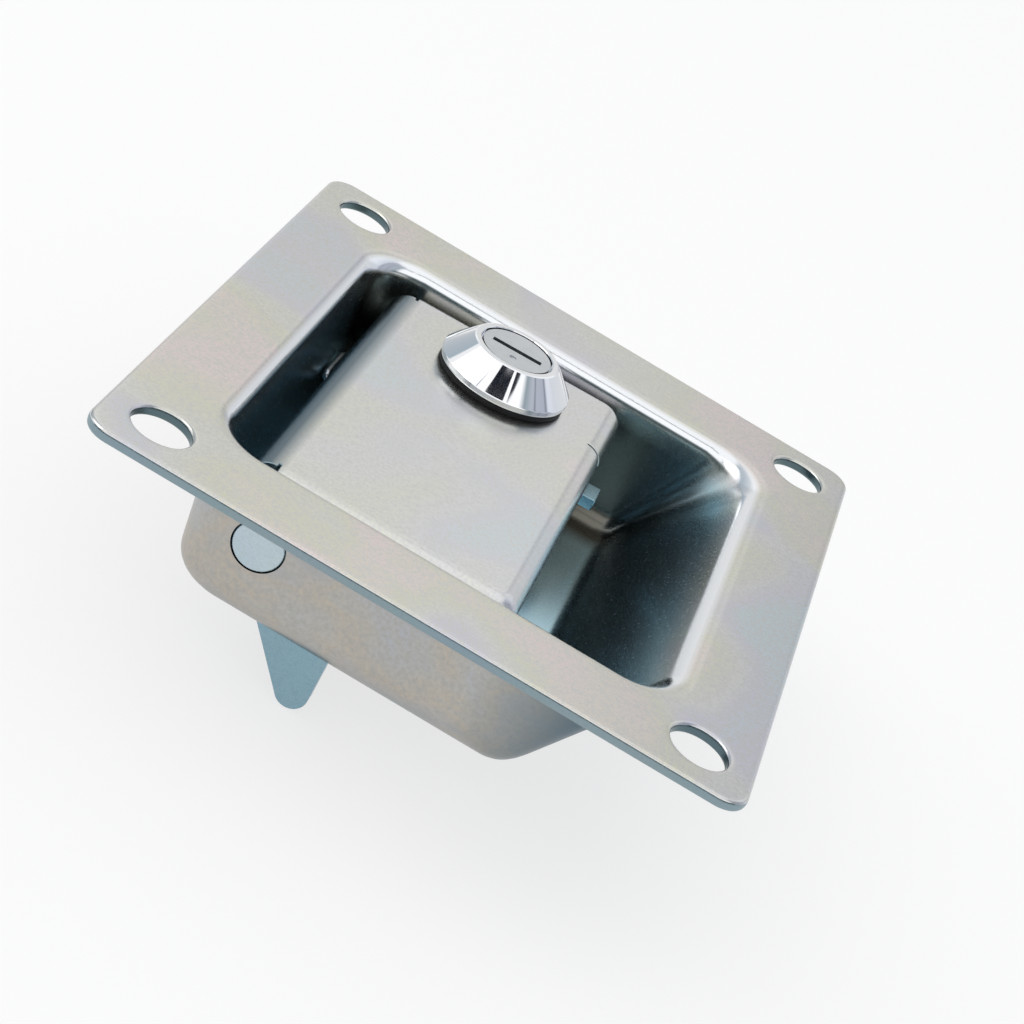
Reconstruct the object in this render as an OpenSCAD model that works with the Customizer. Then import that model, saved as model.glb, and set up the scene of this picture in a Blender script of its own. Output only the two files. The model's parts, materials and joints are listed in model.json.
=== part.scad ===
// Recessed hook lock: a pressed dish with a flush paddle, a key cylinder and a swinging hook.
// Origin: centre of the four fixing holes, on the underside of the flange. +Z is outwards.

/* [Plate] */
// Length of the flange along X
plate_x = 125; // [115:1:150]
// Length of the flange along Y
plate_y = 140; // [132:1:165]
// Thickness of the pressed sheet
sheet = 2.3; // [2:0.1:2.5]
// Corner radius of the flange
plate_corner = 5; // [2:0.5:10]
// Diameter of the fixing holes
hole_d = 11; // [6:0.5:12]
// Distance between fixing holes along X
hole_pitch_x = 103.5; // [100:0.5:105]
// Distance between fixing holes along Y
hole_pitch_y = 118; // [117:0.5:121]

/* [Dish] */
// Depth of the dish below the underside of the flange
dish_depth = 29; // [28.5:0.5:31]
// Length of the dish opening along X
opening_x = 95; // [94.5:0.5:97]
// Length of the dish opening along Y
opening_y = 106.4; // [105.8:0.2:108]
// Corner radius of the dish opening
opening_corner = 11; // [10:0.5:13]
// Corner radius where the scoop meets the floor
scoop_corner = 3; // [2:0.5:6]
// Corner radius where the pivot end meets the floor
pivot_corner = 6; // [4:0.5:6.5]
// Radius of the rim on the pivot end and both sides
rim_r = 3.5; // [3:0.25:4]
// Radius of the rim over the finger scoop
scoop_rim_r = 5.5; // [4:0.5:7]
// Inner radius between walls and floor
floor_r = 5; // [4:0.5:5.5]
// Inner radius between the scoop and the floor
scoop_floor_r = 4; // [3:0.5:5]
// Draft of the pivot end wall, from upright
end_draft = 10; // [8:0.5:11]
// Draft of both side walls, from upright
side_draft = 1.5; // [0.5:0.25:2]
// Lean of the finger scoop, from upright
scoop_lean = 35; // [32:1:38]

/* [Pivot] */
// Diameter of the pivot pin
pin_d = 10; // [8:0.5:10]
// Distance from the plate centre to the pivot axis along X
pivot_back = 29; // [28.5:0.1:29.3]
// Depth of the pivot axis below the face of the flange
pivot_drop = 15; // [14.5:0.1:15.2]
// Gap around the pivot pin in the dish walls
pin_gap = 0.05; // [0.02:0.01:0.09]
// Thickness of the thrust washers
thrust_t = 0.9; // [0.8:0.1:1.1]
// Diameter of the thrust washers
thrust_d = 14; // [13:0.5:14.5]
// Thickness of the retaining clips
clip_t = 1.2; // [0.8:0.1:1.5]

/* [Paddle] */
// Thickness of the paddle sheet
pad_sheet = 1.5; // [1.2:0.1:1.8]
// Length of the paddle along Y
pad_y = 95.6; // [94:0.2:96]
// Reach of the paddle from the pivot axis towards the scoop
pad_front = 44.2; // [42:0.2:46]
// Reach of the paddle from the pivot axis towards the pivot end
pad_back = 8.4; // [7.8:0.1:8.6]
// Height of the paddle face above the pivot axis
pad_top = 11.8; // [11.4:0.1:12]
// Outer radius of the paddle bends
pad_bend = 3; // [2.5:0.1:3.2]
// Radius of the drawn corner beside the cylinder, in plan
pad_corner = 4.2; // [3.5:0.1:6]
// Slope of the paddle at rest
pad_tilt = 1.5; // [0:0.25:2]
// Depth of the finger flange
grip_depth = 8; // [6:0.5:10]
// Radius of the cheeks around the pivot
cheek_r = 8.6; // [8:0.1:8.8]

/* [Hook] */
// Thickness of the hook blade
hook_t = 3.5; // [2.5:0.25:4]
// Distance from the pivot axis to the centre of the hook tip
hook_reach = 30.7; // [27:0.1:31]
// Direction of the hook tip from the pivot axis, below the paddle line
hook_angle = 58; // [55:0.5:60]
// Radius of the hook tip
hook_tip_r = 3.2; // [2.5:0.1:3.5]
// Diameter of the hook rivets
rivet_d = 4; // [3:0.25:4.5]
// Clear width beside the hook in its floor slot
slot_gap = 0.6; // [0.4:0.1:0.9]

/* [Cylinder] */
// Distance from the pivot axis to the cylinder axis along the paddle
lock_x = 19.5; // [19:0.1:21]
// Distance from the paddle centre line to the cylinder axis
lock_y = 29.5; // [28:0.5:30]
// Radius of the bezel at its foot
bezel_r = 13.6; // [12.5:0.1:14]
// Radius of the bezel at its face
bezel_face_r = 9; // [8.6:0.1:10]
// Height of the bezel above its seal
bezel_h = 6.3; // [5:0.1:7.5]
// Height of the straight skirt at the foot of the bezel
skirt_h = 1.3; // [0.8:0.1:2]
// Thickness of the rubber seal
seal_t = 1.3; // [0.8:0.1:1.6]
// Radius of the barrel
barrel_r = 9; // [8.8:0.1:9.4]
// Distance across the flats of the barrel
barrel_flats = 16.8; // [16.6:0.1:17.2]
// Length of the barrel below the paddle face
barrel_len = 10.4; // [10.2:0.1:10.8]
// Radius of the plug face
plug_face_r = 7.25; // [7:0.05:7.3]
// Radius of the plug body
plug_r = 6.2; // [6:0.05:6.25]
// Length of the keyway
keyway_l = 10.6; // [9:0.1:11]
// Width of the keyway
keyway_w = 1.5; // [1.2:0.1:1.8]
// Distance across the flats of the clamping nut
nut_flats = 24; // [22:0.5:25]
// Thickness of the clamping nut
nut_t = 4.5; // [3.5:0.25:5.5]
// Thickness of the nut washer
nut_washer_t = 1; // [0.6:0.1:1.2]

/* [Cam] */
// Length of the cam from the cylinder axis to its tip
cam_len = 27.7; // [26:0.1:28]
// Width of the cam at its tip
cam_tip_w = 6; // [5:0.25:8]
// Thickness of the cam
cam_t = 2.5; // [2:0.1:3]
// Side of the square drive on the plug
drive_side = 7; // [6:0.25:7.5]
// Width of the keeper that the cam turns under
keeper_w = 14; // [13:0.5:16]
// Thickness of the keeper sheet
keeper_t = 2; // [1.5:0.1:2.2]

/* [Return spring] */
// Wire diameter of the return spring
wire_d = 1.4; // [1:0.1:1.5]
// Length of the bail between the two coils
bail_l = 13; // [11:0.5:15]
// Length of each coil
coil_l = 7.6; // [7:0.2:9]

/* [Hidden] */
$fn = 64;

// Small working clearances
touch = 0.02;
gap = 0.3;
// Depth by which a stem runs into the piece that it grows from
root = 0.1;

// Levels of the dish sheet
face_z = sheet;
under_z = -dish_depth;
floor_z = under_z + sheet;
ring_steps = 8;
corner_steps = 8;

// Pivot axis
pivot_x = -pivot_back;
pivot_z = face_z - pivot_drop;
pin_r = pin_d / 2;
pin_chamfer = 0.5;
pin_flush = 0.1;
groove_depth = 0.7;
clip_rim = 2;
clip_mouth = 4.5;

// Paddle sheet, measured from the pivot axis
pad_half = pad_y / 2;
pad_under = pad_top - pad_sheet;
bend_z = pad_top - pad_bend;
flat_back = -pad_back + pad_bend;
flat_front = pad_front - pad_bend;
flat_half = pad_half - pad_bend;
corner_in = pad_corner - pad_bend;
relief = 1.2;
slit = 0.6;
slit_from_lock = 5;
slit_y = lock_y - slit_from_lock;
back_flange = 2.8;
cheek_front_r = 4;
cheek_front_x = flat_front - cheek_front_r - relief;
cheek_front_z = bend_z - cheek_front_r;

// Hook blade
hook_near = -pad_half + pad_sheet;
hook_far = hook_near + hook_t;
hook_heel_r = 6.1;
hook_tip = [hook_reach * cos(hook_angle), -hook_reach * sin(hook_angle)];
hook_root = [hook_tip[0], -2];
rivet_head = 0.7;
rivet_head_r = rivet_d / 2 + 1;
rivet_edge = 0.5;
rear_rivet = [thrust_d / 2 + rivet_head_r + gap, 0];
front_rivet = rear_rivet + [2 * rivet_head_r + 1, 0];
rivet_places = [rear_rivet, front_rivet];
slot_back = pivot_x + gap;
slot_front = pivot_x + hook_reach + hook_tip_r + gap;

// Cylinder levels, measured from the paddle face
seal_top = seal_t;
bezel_top = seal_t + bezel_h;
skirt_top = seal_t + skirt_h;
plug_gap = 0.05;
plug_face_gap = 0.25;
plug_recess = 0.2;
plug_head_t = 2;
head_z = bezel_top - plug_recess - plug_head_t;
nut_washer_z = -pad_sheet - nut_washer_t;
nut_z = nut_washer_z - nut_t;
nut_land_r = nut_flats / 2 + 0.3;
nut_corner_r = nut_flats / 2 + 2;
nut_chamfer = 1;
rear_z = -barrel_len;
stop_t = 0.8;
stop_z = rear_z - touch * 2 - stop_t;
cam_z = stop_z - cam_t;
cam_washer_t = 1;
cam_washer_r = drive_side * 0.75;
cam_washer_z = cam_z - cam_washer_t;
drive_short = 0.2;
screw_r = 2.5;
screw_head_r = 4.5;
screw_head_t = 3;
screw_len = 8.5;
screw_room = 0.5;
screw_slot_w = 1.2;
screw_slot_depth = 1;
bezel_edge = 0.4;
dot_r = 0.7;
dot_depth = 0.3;
stop_r = barrel_flats / 2 - 0.4;
stop_disc_r = plug_r;
tab_span = 45;
turn = 90;
stop_play = 1;

// Wafers in the plug
wafer_t = 1;
wafer_w = 5;
wafer_pitch = 2.4;
wafer_count = 4;
wafer_gap = 0.05;
wafer_lift = 0.5;
wafer_cover = 1.5;
wafer_top = head_z - wafer_cover;
lug_w = 1.5;
lug_t = 1;
window_l = 8;
chamber_end = 3.6;
groove_r = plug_r + wafer_lift + plug_face_gap;
keyway_rest = 0.8;
keyway_depth = wafer_top - wafer_pitch * (wafer_count - 1) - wafer_t - keyway_rest;
window_play = 0.1;
small_wire = 0.2;
wafer_spring_r = 0.45;
lug_back = 1.2;

// Cam and keeper
cam_root_r = 8;
cam_face_z = pivot_z + (pad_top + cam_z + cam_t) * cos(pad_tilt) + lock_x * sin(pad_tilt);
keeper_gap = 0.7;
keeper_under = cam_face_z + keeper_gap;
keeper_x = pivot_x + lock_x * cos(pad_tilt);
keeper_wall_y = lock_y - cam_len - keeper_gap;
tab_l = 6;
keeper_bend = keeper_t + 1;
foot_l = 15;
keeper_rivet_d = 3.5;
keeper_rivet_head_r = 2.8;
keeper_rivet_head_t = 1.2;
keeper_rivet_edge = 0.8;

// Return spring
wire_r = wire_d / 2;
spring_y = pad_half - pad_sheet - clip_t - gap - wire_r - coil_l - bail_l / 2;
coil_gap = 0.4;
coil_r = pin_r + coil_gap + wire_r;
coil_turns = 4;
rings_per_turn = 14;
wire_sides = 8;
bail_z = -3;
// Way from the last coil on to the bail, from the start of the bail
bail_approach = [[1.2, 0.2, -0.95], [0.25, 0.6, -0.2], [0, 1.6, 0]];
bail_wall = inset(pivot_z + bail_z, rim_r, floor_r, end_draft, 0) - opening_x / 2;
bail_point = [bail_wall - pivot_x + wire_r + gap, bail_z];
leg_point = [-4, pad_under - wire_r - 0.2];
leg_angle = atan2(leg_point[1], leg_point[0]) - acos(coil_r / norm(leg_point));
bail_angle = atan2(bail_point[1], bail_point[0]) + acos(coil_r / norm(bail_point)) - 360;

steel = "#c9c7c0";
cut_steel = "#b9cdd2";
chrome = "#e6e9ec";
black = "#161616";
brass = "#c8a24a";

// Frame of the swinging lever: origin on the pivot axis, X along the paddle
module lever_frame() {
    translate([pivot_x, 0, pivot_z]) rotate([0, -pad_tilt, 0]) children();
}

// Frame of the key cylinder: origin on the paddle face, Z along the cylinder axis
module lock_frame() {
    lever_frame() translate([lock_x, lock_y, pad_top]) children();
}

// Turns a drawing in X and height so that it stands at the given Y, as thick as t
module stand(y, t) {
    translate([0, y + t, 0]) rotate([90, 0, 0]) linear_extrude(t) children();
}

// Rounded rectangle about the origin
module rounded(x, y, r) {
    square([x - 2 * r, y], center = true);
    square([x, y - 2 * r], center = true);
    for (sx = [-1, 1], sy = [-1, 1]) translate([sx * (x / 2 - r), sy * (y / 2 - r)]) circle(r);
}

// Ring with a round hole
module ring(r, hole_r, t) {
    difference() {
        cylinder(r = r, h = t);
        translate([0, 0, -1]) cylinder(r = hole_r, h = t + 2);
    }
}

// Straight-sided link between two circles
module web(c1, r1, c2, r2) {
    d = norm(c2 - c1);
    dir = atan2(c2[1] - c1[1], c2[0] - c1[0]);
    a = acos((r1 - r2) / d);
    translate(c1) circle(r1);
    translate(c2) circle(r2);
    left = [cos(dir + a), sin(dir + a)];
    right = [cos(dir - a), sin(dir - a)];
    polygon([
        c1 + (r1 - touch) * left,
        c1 + (r1 - touch) * right,
        c2 + (r2 - touch) * right,
        c2 + (r2 - touch) * left
    ]);
}

// Quarter of a bent sheet, seen in section: from straight up round to +X
module bend_section(r, t) {
    intersection() {
        difference() {
            circle(r);
            circle(r - t);
        }
        square(r);
    }
}

// How far a wall of the dish stands in from the opening at height z.
// off is 0 for the inner face of the sheet and the sheet thickness for the outer face.
function wall_length(rim, foot, lean) =
    (face_z - floor_z - (rim + foot) * (1 - sin(lean))) / cos(lean);
function foot_centre(rim, foot, lean) =
    (rim + foot) * cos(lean) + wall_length(rim, foot, lean) * sin(lean);
function inset(z, rim, foot, lean, off) =
    let (
        upper = rim - off,
        lower = foot + off,
        z_rim = face_z - rim + upper * sin(lean),
        z_foot = floor_z + foot - lower * sin(lean)
    )
    z >= face_z - off ? 0
    : z >= z_rim ? sqrt(max(0, upper * upper - pow(z - face_z + rim, 2)))
    : z >= z_foot ? upper * cos(lean) + (z_rim - z) * tan(lean)
    : foot_centre(rim, foot, lean) - sqrt(max(0, lower * lower - pow(floor_z + foot - z, 2)));

// Outline of the dish at height z, anticlockwise from the scoop side
function dish_ring(z, off) =
    let (
        side = inset(z, rim_r, floor_r, side_draft, off),
        x1 = opening_x / 2 - inset(z, scoop_rim_r, scoop_floor_r, scoop_lean, off),
        x0 = -opening_x / 2 + inset(z, rim_r, floor_r, end_draft, off),
        y1 = opening_y / 2 - side,
        part_down = max(0, min(1, (face_z - z) / (face_z - floor_z))),
        r0 = off + opening_corner + (pivot_corner - opening_corner) * part_down,
        r1 = off + opening_corner + (scoop_corner - opening_corner) * part_down,
        corners = [[x1 - r1, y1 - r1, r1], [x0 + r0, y1 - r0, r0],
            [x0 + r0, r0 - y1, r0], [x1 - r1, r1 - y1, r1]]
    )
    [for (q = [0:3], k = [0:corner_steps])
        let (a = 90 * (q + k / corner_steps), c = corners[q])
        [c[0] + c[2] * cos(a), c[1] + c[2] * sin(a), z]];

// Heights of the outlines, from the top down
function dish_levels(off, top) = concat(
    [top],
    [for (k = [0:ring_steps]) face_z - off - (rim_r - off) * (1 - cos(90 * k / ring_steps))],
    [for (k = [ring_steps:-1:0])
        floor_z + floor_r - (floor_r + off) * cos(90 * k / ring_steps)]
);

// Closed solid through a stack of outlines with equal numbers of points
module loft(rings) {
    n = len(rings[0]);
    m = len(rings);
    points = [for (ring = rings, p = ring) p];
    sides = [for (i = [0:m - 2], k = [0:n - 1])
        [i * n + k, i * n + (k + 1) % n, (i + 1) * n + (k + 1) % n, (i + 1) * n + k]];
    top = [for (k = [n - 1:-1:0]) k];
    bottom = [for (k = [0:n - 1]) (m - 1) * n + k];
    polyhedron(points, concat(sides, [top, bottom]), convexity = 6);
}

module dish_form(off, top) {
    loft([for (z = dish_levels(off, top)) dish_ring(z, off)]);
}

module dish_plate() {
    color(steel) difference() {
        union() {
            linear_extrude(face_z) rounded(plate_x, plate_y, plate_corner);
            dish_form(sheet, face_z / 2);
        }
        dish_form(0, face_z + 1);
        for (sx = [-1, 1], sy = [-1, 1])
            translate([sx * hole_pitch_x / 2, sy * hole_pitch_y / 2, -1])
                cylinder(d = hole_d, h = sheet + 2);
        translate([pivot_x, plate_y / 2, pivot_z]) rotate([90, 0, 0])
            cylinder(r = pin_r + pin_gap, h = plate_y);
        translate([slot_back, hook_near - slot_gap, under_z - 1])
            cube([slot_front - slot_back, hook_t + 2 * slot_gap, floor_r + sheet]);
        for (place = keeper_rivet_places())
            translate([place[0], place[1], under_z - 1])
                cylinder(d = keeper_rivet_d + 2 * touch, h = sheet + 2);
    }
}

// Side view of a cheek: round the pivot and along the sheet
module cheek_shape() {
    cheek_back = flat_back + relief;
    intersection() {
        union() {
            web([0, 0], cheek_r, [cheek_front_x, cheek_front_z], cheek_front_r);
            translate([cheek_back, 0])
                square([cheek_front_x + cheek_front_r - cheek_back, bend_z]);
        }
        translate([-2 * cheek_r, bend_z - pad_front]) square([2 * pad_front, pad_front]);
    }
}

// Bend and cheek on one side of the paddle, towards -Y
module cheek_side(front) {
    translate([flat_back + relief, -flat_half, bend_z]) rotate([90, 0, 90])
        linear_extrude(front - flat_back - relief) mirror([1, 0]) bend_section(pad_bend, pad_sheet);
    difference() {
        stand(-pad_half, pad_sheet) cheek_shape();
        translate([0, -pad_half - 1, 0]) rotate([-90, 0, 0])
            cylinder(r = pin_r + touch, h = pad_sheet + 2);
    }
}

// Rounded corner beside the cylinder
module drawn_corner() {
    translate([flat_front - corner_in, flat_half - corner_in, bend_z])
        rotate_extrude(angle = 90) {
            translate([corner_in, 0]) bend_section(pad_bend, pad_sheet);
            translate([0, pad_bend - pad_sheet]) square([corner_in, pad_sheet]);
        }
}

module paddle_holes() {
    translate([lock_x, lock_y, pad_under - 1]) intersection() {
        cylinder(r = barrel_r + touch * 2, h = pad_sheet + 2);
        translate([-barrel_flats / 2 - touch * 2, -barrel_r - 1, 0])
            cube([barrel_flats + touch * 4, 2 * barrel_r + 2, pad_sheet + 2]);
    }
    for (place = rivet_places)
        translate([place[0], -pad_half - 1, place[1]]) rotate([-90, 0, 0])
            cylinder(d = rivet_d + 2 * touch, h = pad_sheet + 2);
}

module paddle() {
    color(steel) lever_frame() difference() {
        union() {
            translate([flat_back, -flat_half, pad_under]) {
                cube([flat_front - corner_in - flat_back, 2 * flat_half, pad_sheet]);
                cube([flat_front - flat_back, 2 * flat_half - corner_in, pad_sheet]);
            }
            // Pivot end flange
            stand(-flat_half + relief, 2 * (flat_half - relief)) {
                translate([flat_back, bend_z]) mirror([1, 0]) bend_section(pad_bend, pad_sheet);
                translate([-pad_back, bend_z - back_flange]) square([pad_sheet, back_flange]);
            }
            // Finger flange, slit where the cam passes beneath it
            stand(-flat_half + relief, flat_half - relief + slit_y - slit) {
                translate([flat_front, bend_z]) bend_section(pad_bend, pad_sheet);
                translate([pad_front - pad_sheet, pad_top - grip_depth])
                    square([pad_sheet, grip_depth - pad_bend]);
            }
            stand(slit_y, flat_half - corner_in - slit_y)
                translate([flat_front, bend_z]) bend_section(pad_bend, pad_sheet);
            drawn_corner();
            cheek_side(flat_front - relief);
            mirror([0, 1, 0]) cheek_side(flat_front - corner_in);
        }
        paddle_holes();
    }
}

// Half length of the pin, flush with the outside of the dish walls at the pivot
function pin_half() =
    opening_y / 2 - inset(pivot_z, rim_r, floor_r, side_draft, sheet) + pin_flush;

module pivot_pin() {
    half = pin_half();
    groove_y = pad_half - pad_sheet - touch;
    near_y = pad_half - pad_sheet - hook_t - touch;
    color(cut_steel) lever_frame() rotate([90, 0, 0]) difference() {
        union() {
            translate([0, 0, -half + pin_chamfer]) cylinder(r = pin_r, h = 2 * (half - pin_chamfer));
            for (s = [0, 1]) mirror([0, 0, s]) translate([0, 0, half - pin_chamfer])
                cylinder(r1 = pin_r, r2 = pin_r - pin_chamfer, h = pin_chamfer);
        }
        translate([0, 0, -groove_y]) ring(pin_r + 1, pin_r - groove_depth, clip_t + 2 * touch);
        translate([0, 0, near_y - clip_t - 2 * touch])
            ring(pin_r + 1, pin_r - groove_depth, clip_t + 2 * touch);
    }
}

module thrust_washer() {
    rotate([90, 0, 0]) ring(thrust_d / 2, pin_r + touch, thrust_t);
}

module near_thrust_washer() {
    color(cut_steel) lever_frame() translate([0, -pad_half, 0]) thrust_washer();
}

module far_thrust_washer() {
    color(cut_steel) lever_frame() translate([0, pad_half + thrust_t, 0]) thrust_washer();
}

// Open retaining clip in the groove of the pin
module clip() {
    reach = pin_r + clip_rim + 1;
    rotate([90, 0, 0]) difference() {
        ring(pin_r + clip_rim, pin_r - groove_depth + touch, clip_t);
        translate([0, 0, -1]) linear_extrude(clip_t + 2)
            polygon([[0, 0], [-reach, -clip_mouth], [-reach, -reach], [clip_mouth, -reach]]);
    }
}

module near_clip() {
    color(cut_steel) lever_frame() translate([0, hook_far + clip_t + 2 * touch, 0]) clip();
}

module far_clip() {
    color(cut_steel) lever_frame() translate([0, pad_half - pad_sheet - 2 * touch, 0]) clip();
}

module hook_shape() {
    web([0, 0], hook_heel_r, hook_tip, hook_tip_r);
    web(hook_tip, hook_tip_r, hook_root, hook_tip_r);
    polygon([[0, 0], hook_tip, hook_root]);
    web([0, 0], cheek_r - gap, front_rivet, rivet_d);
}

module hook_blade() {
    color(cut_steel) lever_frame() difference() {
        stand(hook_near + touch, hook_t - touch) hook_shape();
        translate([0, hook_near - 1, 0]) rotate([-90, 0, 0]) {
            cylinder(r = pin_r + touch, h = hook_t + 2);
            for (place = rivet_places)
                translate([place[0], -place[1], 0]) cylinder(d = rivet_d + 2 * touch, h = hook_t + 2);
        }
    }
}

module hook_rivets() {
    color(cut_steel) lever_frame() for (place = rivet_places)
        translate([place[0], -pad_half, place[1]]) rotate([-90, 0, 0]) {
            cylinder(d = rivet_d, h = pad_sheet + hook_t);
            translate([0, 0, -rivet_head])
                cylinder(r1 = rivet_head_r - rivet_edge, r2 = rivet_head_r, h = rivet_head);
            translate([0, 0, pad_sheet + hook_t])
                cylinder(r1 = rivet_head_r, r2 = rivet_head_r - rivet_edge, h = rivet_head);
        }
}

// Solid wire swept along points; up gives the side that the first facet faces at each point
module wire(points, ups, r, sides) {
    n = len(points);
    rings = [for (i = [0:n - 1])
        let (
            step = points[min(i + 1, n - 1)] - points[max(i - 1, 0)],
            t = step / norm(step),
            flat = ups[i] - (ups[i] * t) * t,
            u = flat / norm(flat),
            v = cross(t, u)
        )
        [for (k = [0:sides - 1])
            let (a = -360 * k / sides) points[i] + r * (cos(a) * u + sin(a) * v)]];
    loft(rings);
}

// One side of the double torsion spring, from the paddle leg to the middle of the bail
function spring_half() =
    let (
        sweep = leg_angle - bail_angle + 360 * (coil_turns - 1),
        steps = ceil(sweep / 360 * rings_per_turn),
        outer = -bail_l / 2 - coil_l,
        inner = -bail_l / 2
    )
    concat(
        [[leg_point[0], outer, leg_point[1]]],
        [for (i = [0:steps])
            let (a = leg_angle - sweep * i / steps)
            [coil_r * cos(a), outer + coil_l * i / steps, coil_r * sin(a)]],
        [for (p = bail_approach) [bail_point[0] + p[0], inner + p[1], bail_point[1] + p[2]]]
    );

module return_spring() {
    half = spring_half();
    n = len(half);
    path = concat(half, [for (i = [n - 1:-1:0]) [half[i][0], -half[i][1], half[i][2]]]);
    color(cut_steel) lever_frame() translate([0, spring_y, 0])
        wire(path, [for (p = path) [p[0], 0, p[2]]], wire_r, wire_sides);
}

module barrel_section() {
    intersection() {
        circle(barrel_r);
        square([barrel_flats, 2 * barrel_r + 2], center = true);
    }
}

// Raised arc on the rear of the barrel that stops the plug after its turn
module stop_arc() {
    half_free = (turn + tab_span) / 2 + stop_play;
    rotate([0, 0, half_free]) rotate_extrude(angle = 360 - 2 * half_free)
        translate([stop_disc_r + gap, stop_z])
            square([stop_r - stop_disc_r - gap, rear_z - stop_z + root]);
}

module lock_housing() {
    color(chrome) lock_frame() {
        difference() {
            union() {
                rotate_extrude() polygon([[0, seal_top], [bezel_r - bezel_edge, seal_top],
                    [bezel_r, seal_top + bezel_edge], [bezel_r, skirt_top], [bezel_face_r, bezel_top],
                    [0, bezel_top]]);
                translate([0, 0, rear_z]) linear_extrude(barrel_len + seal_top) barrel_section();
            }
            translate([0, 0, rear_z - 1]) cylinder(r = plug_r + plug_gap, h = barrel_len + bezel_top + 2);
            translate([0, 0, head_z]) cylinder(r = plug_face_r + plug_face_gap, h = bezel_h);
            for (a = [0, 90]) rotate([0, 0, a])
                translate([-groove_r, -wafer_w / 2 - gap, keyway_depth])
                    cube([2 * groove_r, wafer_w + 2 * gap, wafer_top - keyway_depth + gap]);
        }
        stop_arc();
    }
}

module bezel_seal() {
    color(black) lock_frame() ring(bezel_r - bezel_edge, barrel_r + touch * 2, seal_t);
}

// Level of the top of a wafer, counted from the key side
function wafer_z(i) = wafer_top - wafer_t - wafer_pitch * i;

module wafer_pocket() {
    translate([-plug_r - 1, -wafer_w / 2 - wafer_gap, -wafer_gap])
        cube([2 * plug_r + 2, wafer_w + 2 * wafer_gap, wafer_t + 2 * wafer_gap]);
    translate([-lug_back - wafer_lift - gap, 0, -wafer_gap])
        cube([chamber_end + lug_back + wafer_lift + gap, wafer_w / 2 + lug_w + gap,
            wafer_t + 2 * wafer_gap]);
}

module key_plug() {
    color(steel) lock_frame() difference() {
        union() {
            translate([0, 0, rear_z]) cylinder(r = plug_r, h = head_z - rear_z + root);
            translate([0, 0, head_z + touch]) cylinder(r = plug_face_r, h = plug_head_t - touch);
            translate([-drive_side / 2, -drive_side / 2, cam_z + drive_short])
                cube([drive_side, drive_side, rear_z - cam_z]);
        }
        translate([-keyway_l / 2, -keyway_w / 2, keyway_depth])
            cube([keyway_l, keyway_w, bezel_top - keyway_depth]);
        for (i = [0:wafer_count - 1]) translate([0, 0, wafer_z(i)]) wafer_pocket();
        translate([0, 0, cam_z - 1]) cylinder(r = screw_r + touch, h = screw_len + screw_room);
        // Plain index dot beside the keyway
        translate([0, -plug_face_r / 2, head_z + plug_head_t - dot_depth])
            cylinder(r = dot_r, h = 1);
    }
}

module wafer(i) {
    color(brass) lock_frame() translate([0, 0, wafer_z(i)]) difference() {
        union() {
            intersection() {
                cylinder(r = plug_r - wafer_gap, h = wafer_t);
                translate([-plug_r, -wafer_w / 2, 0]) cube([2 * plug_r, wafer_w, wafer_t]);
            }
            translate([-lug_back, 0, 0]) cube([lug_t, wafer_w / 2 + lug_w, wafer_t]);
        }
        translate([-window_l / 2, -keyway_w / 2 - window_play, -1])
            cube([window_l, keyway_w + 2 * window_play, wafer_t + 2]);
    }
}

module wafer_1() wafer(0);
module wafer_2() wafer(1);
module wafer_3() wafer(2);
module wafer_4() wafer(3);

// Small coils that push the wafers out when no key holds them
module wafer_springs() {
    start = lug_t - lug_back;
    color(cut_steel) lock_frame() for (i = [0:wafer_count - 1])
        translate([start + touch, (wafer_w + lug_w) / 2, wafer_z(i) + wafer_t / 2]) rotate([0, 90, 0])
            ring(wafer_spring_r, wafer_spring_r - small_wire, chamber_end - start - 2 * touch);
}

module nut_washer() {
    color(cut_steel) lock_frame() translate([0, 0, nut_washer_z])
        ring(nut_flats / 2, barrel_r + touch, nut_washer_t);
}

module clamping_nut() {
    color(cut_steel) lock_frame() translate([0, 0, nut_z]) difference() {
        intersection() {
            cylinder(d = nut_flats / cos(30), h = nut_t, $fn = 6);
            rotate_extrude() polygon([[0, 0], [nut_land_r, 0], [nut_corner_r, nut_chamfer],
                [nut_corner_r, nut_t - nut_chamfer], [nut_land_r, nut_t], [0, nut_t]]);
        }
        translate([0, 0, -1]) cylinder(r = barrel_r + touch, h = nut_t + 2);
    }
}

module turn_stop() {
    mid = turn / 2;
    color(cut_steel) lock_frame() translate([0, 0, stop_z]) difference() {
        union() {
            cylinder(r = stop_disc_r, h = stop_t);
            rotate([0, 0, mid - tab_span / 2]) rotate_extrude(angle = tab_span)
                square([stop_r, stop_t]);
        }
        translate([-drive_side / 2 - touch, -drive_side / 2 - touch, -1])
            cube([drive_side + 2 * touch, drive_side + 2 * touch, stop_t + 2]);
    }
}

module cam() {
    color(cut_steel) lock_frame() translate([0, 0, cam_z]) difference() {
        linear_extrude(cam_t - touch) {
            web([0, 0], cam_root_r, [cam_len - cam_tip_w, 0], cam_tip_w / 2);
            translate([cam_len - cam_tip_w, -cam_tip_w / 2]) square([cam_tip_w, cam_tip_w]);
        }
        translate([-drive_side / 2 - touch, -drive_side / 2 - touch, -1])
            cube([drive_side + 2 * touch, drive_side + 2 * touch, cam_t + 2]);
    }
}

module cam_washer() {
    color(cut_steel) lock_frame() translate([0, 0, cam_washer_z])
        ring(cam_washer_r, screw_r + touch, cam_washer_t - touch);
}

module cam_screw() {
    color(cut_steel) lock_frame() translate([0, 0, cam_washer_z - screw_head_t]) difference() {
        union() {
            cylinder(d = 2 * screw_head_r, h = screw_head_t - touch, $fn = 6);
            cylinder(r = screw_r, h = screw_head_t + screw_len);
        }
        translate([-screw_head_r, -screw_slot_w / 2, -1])
            cube([2 * screw_head_r, screw_slot_w, 1 + screw_slot_depth]);
    }
}

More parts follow.
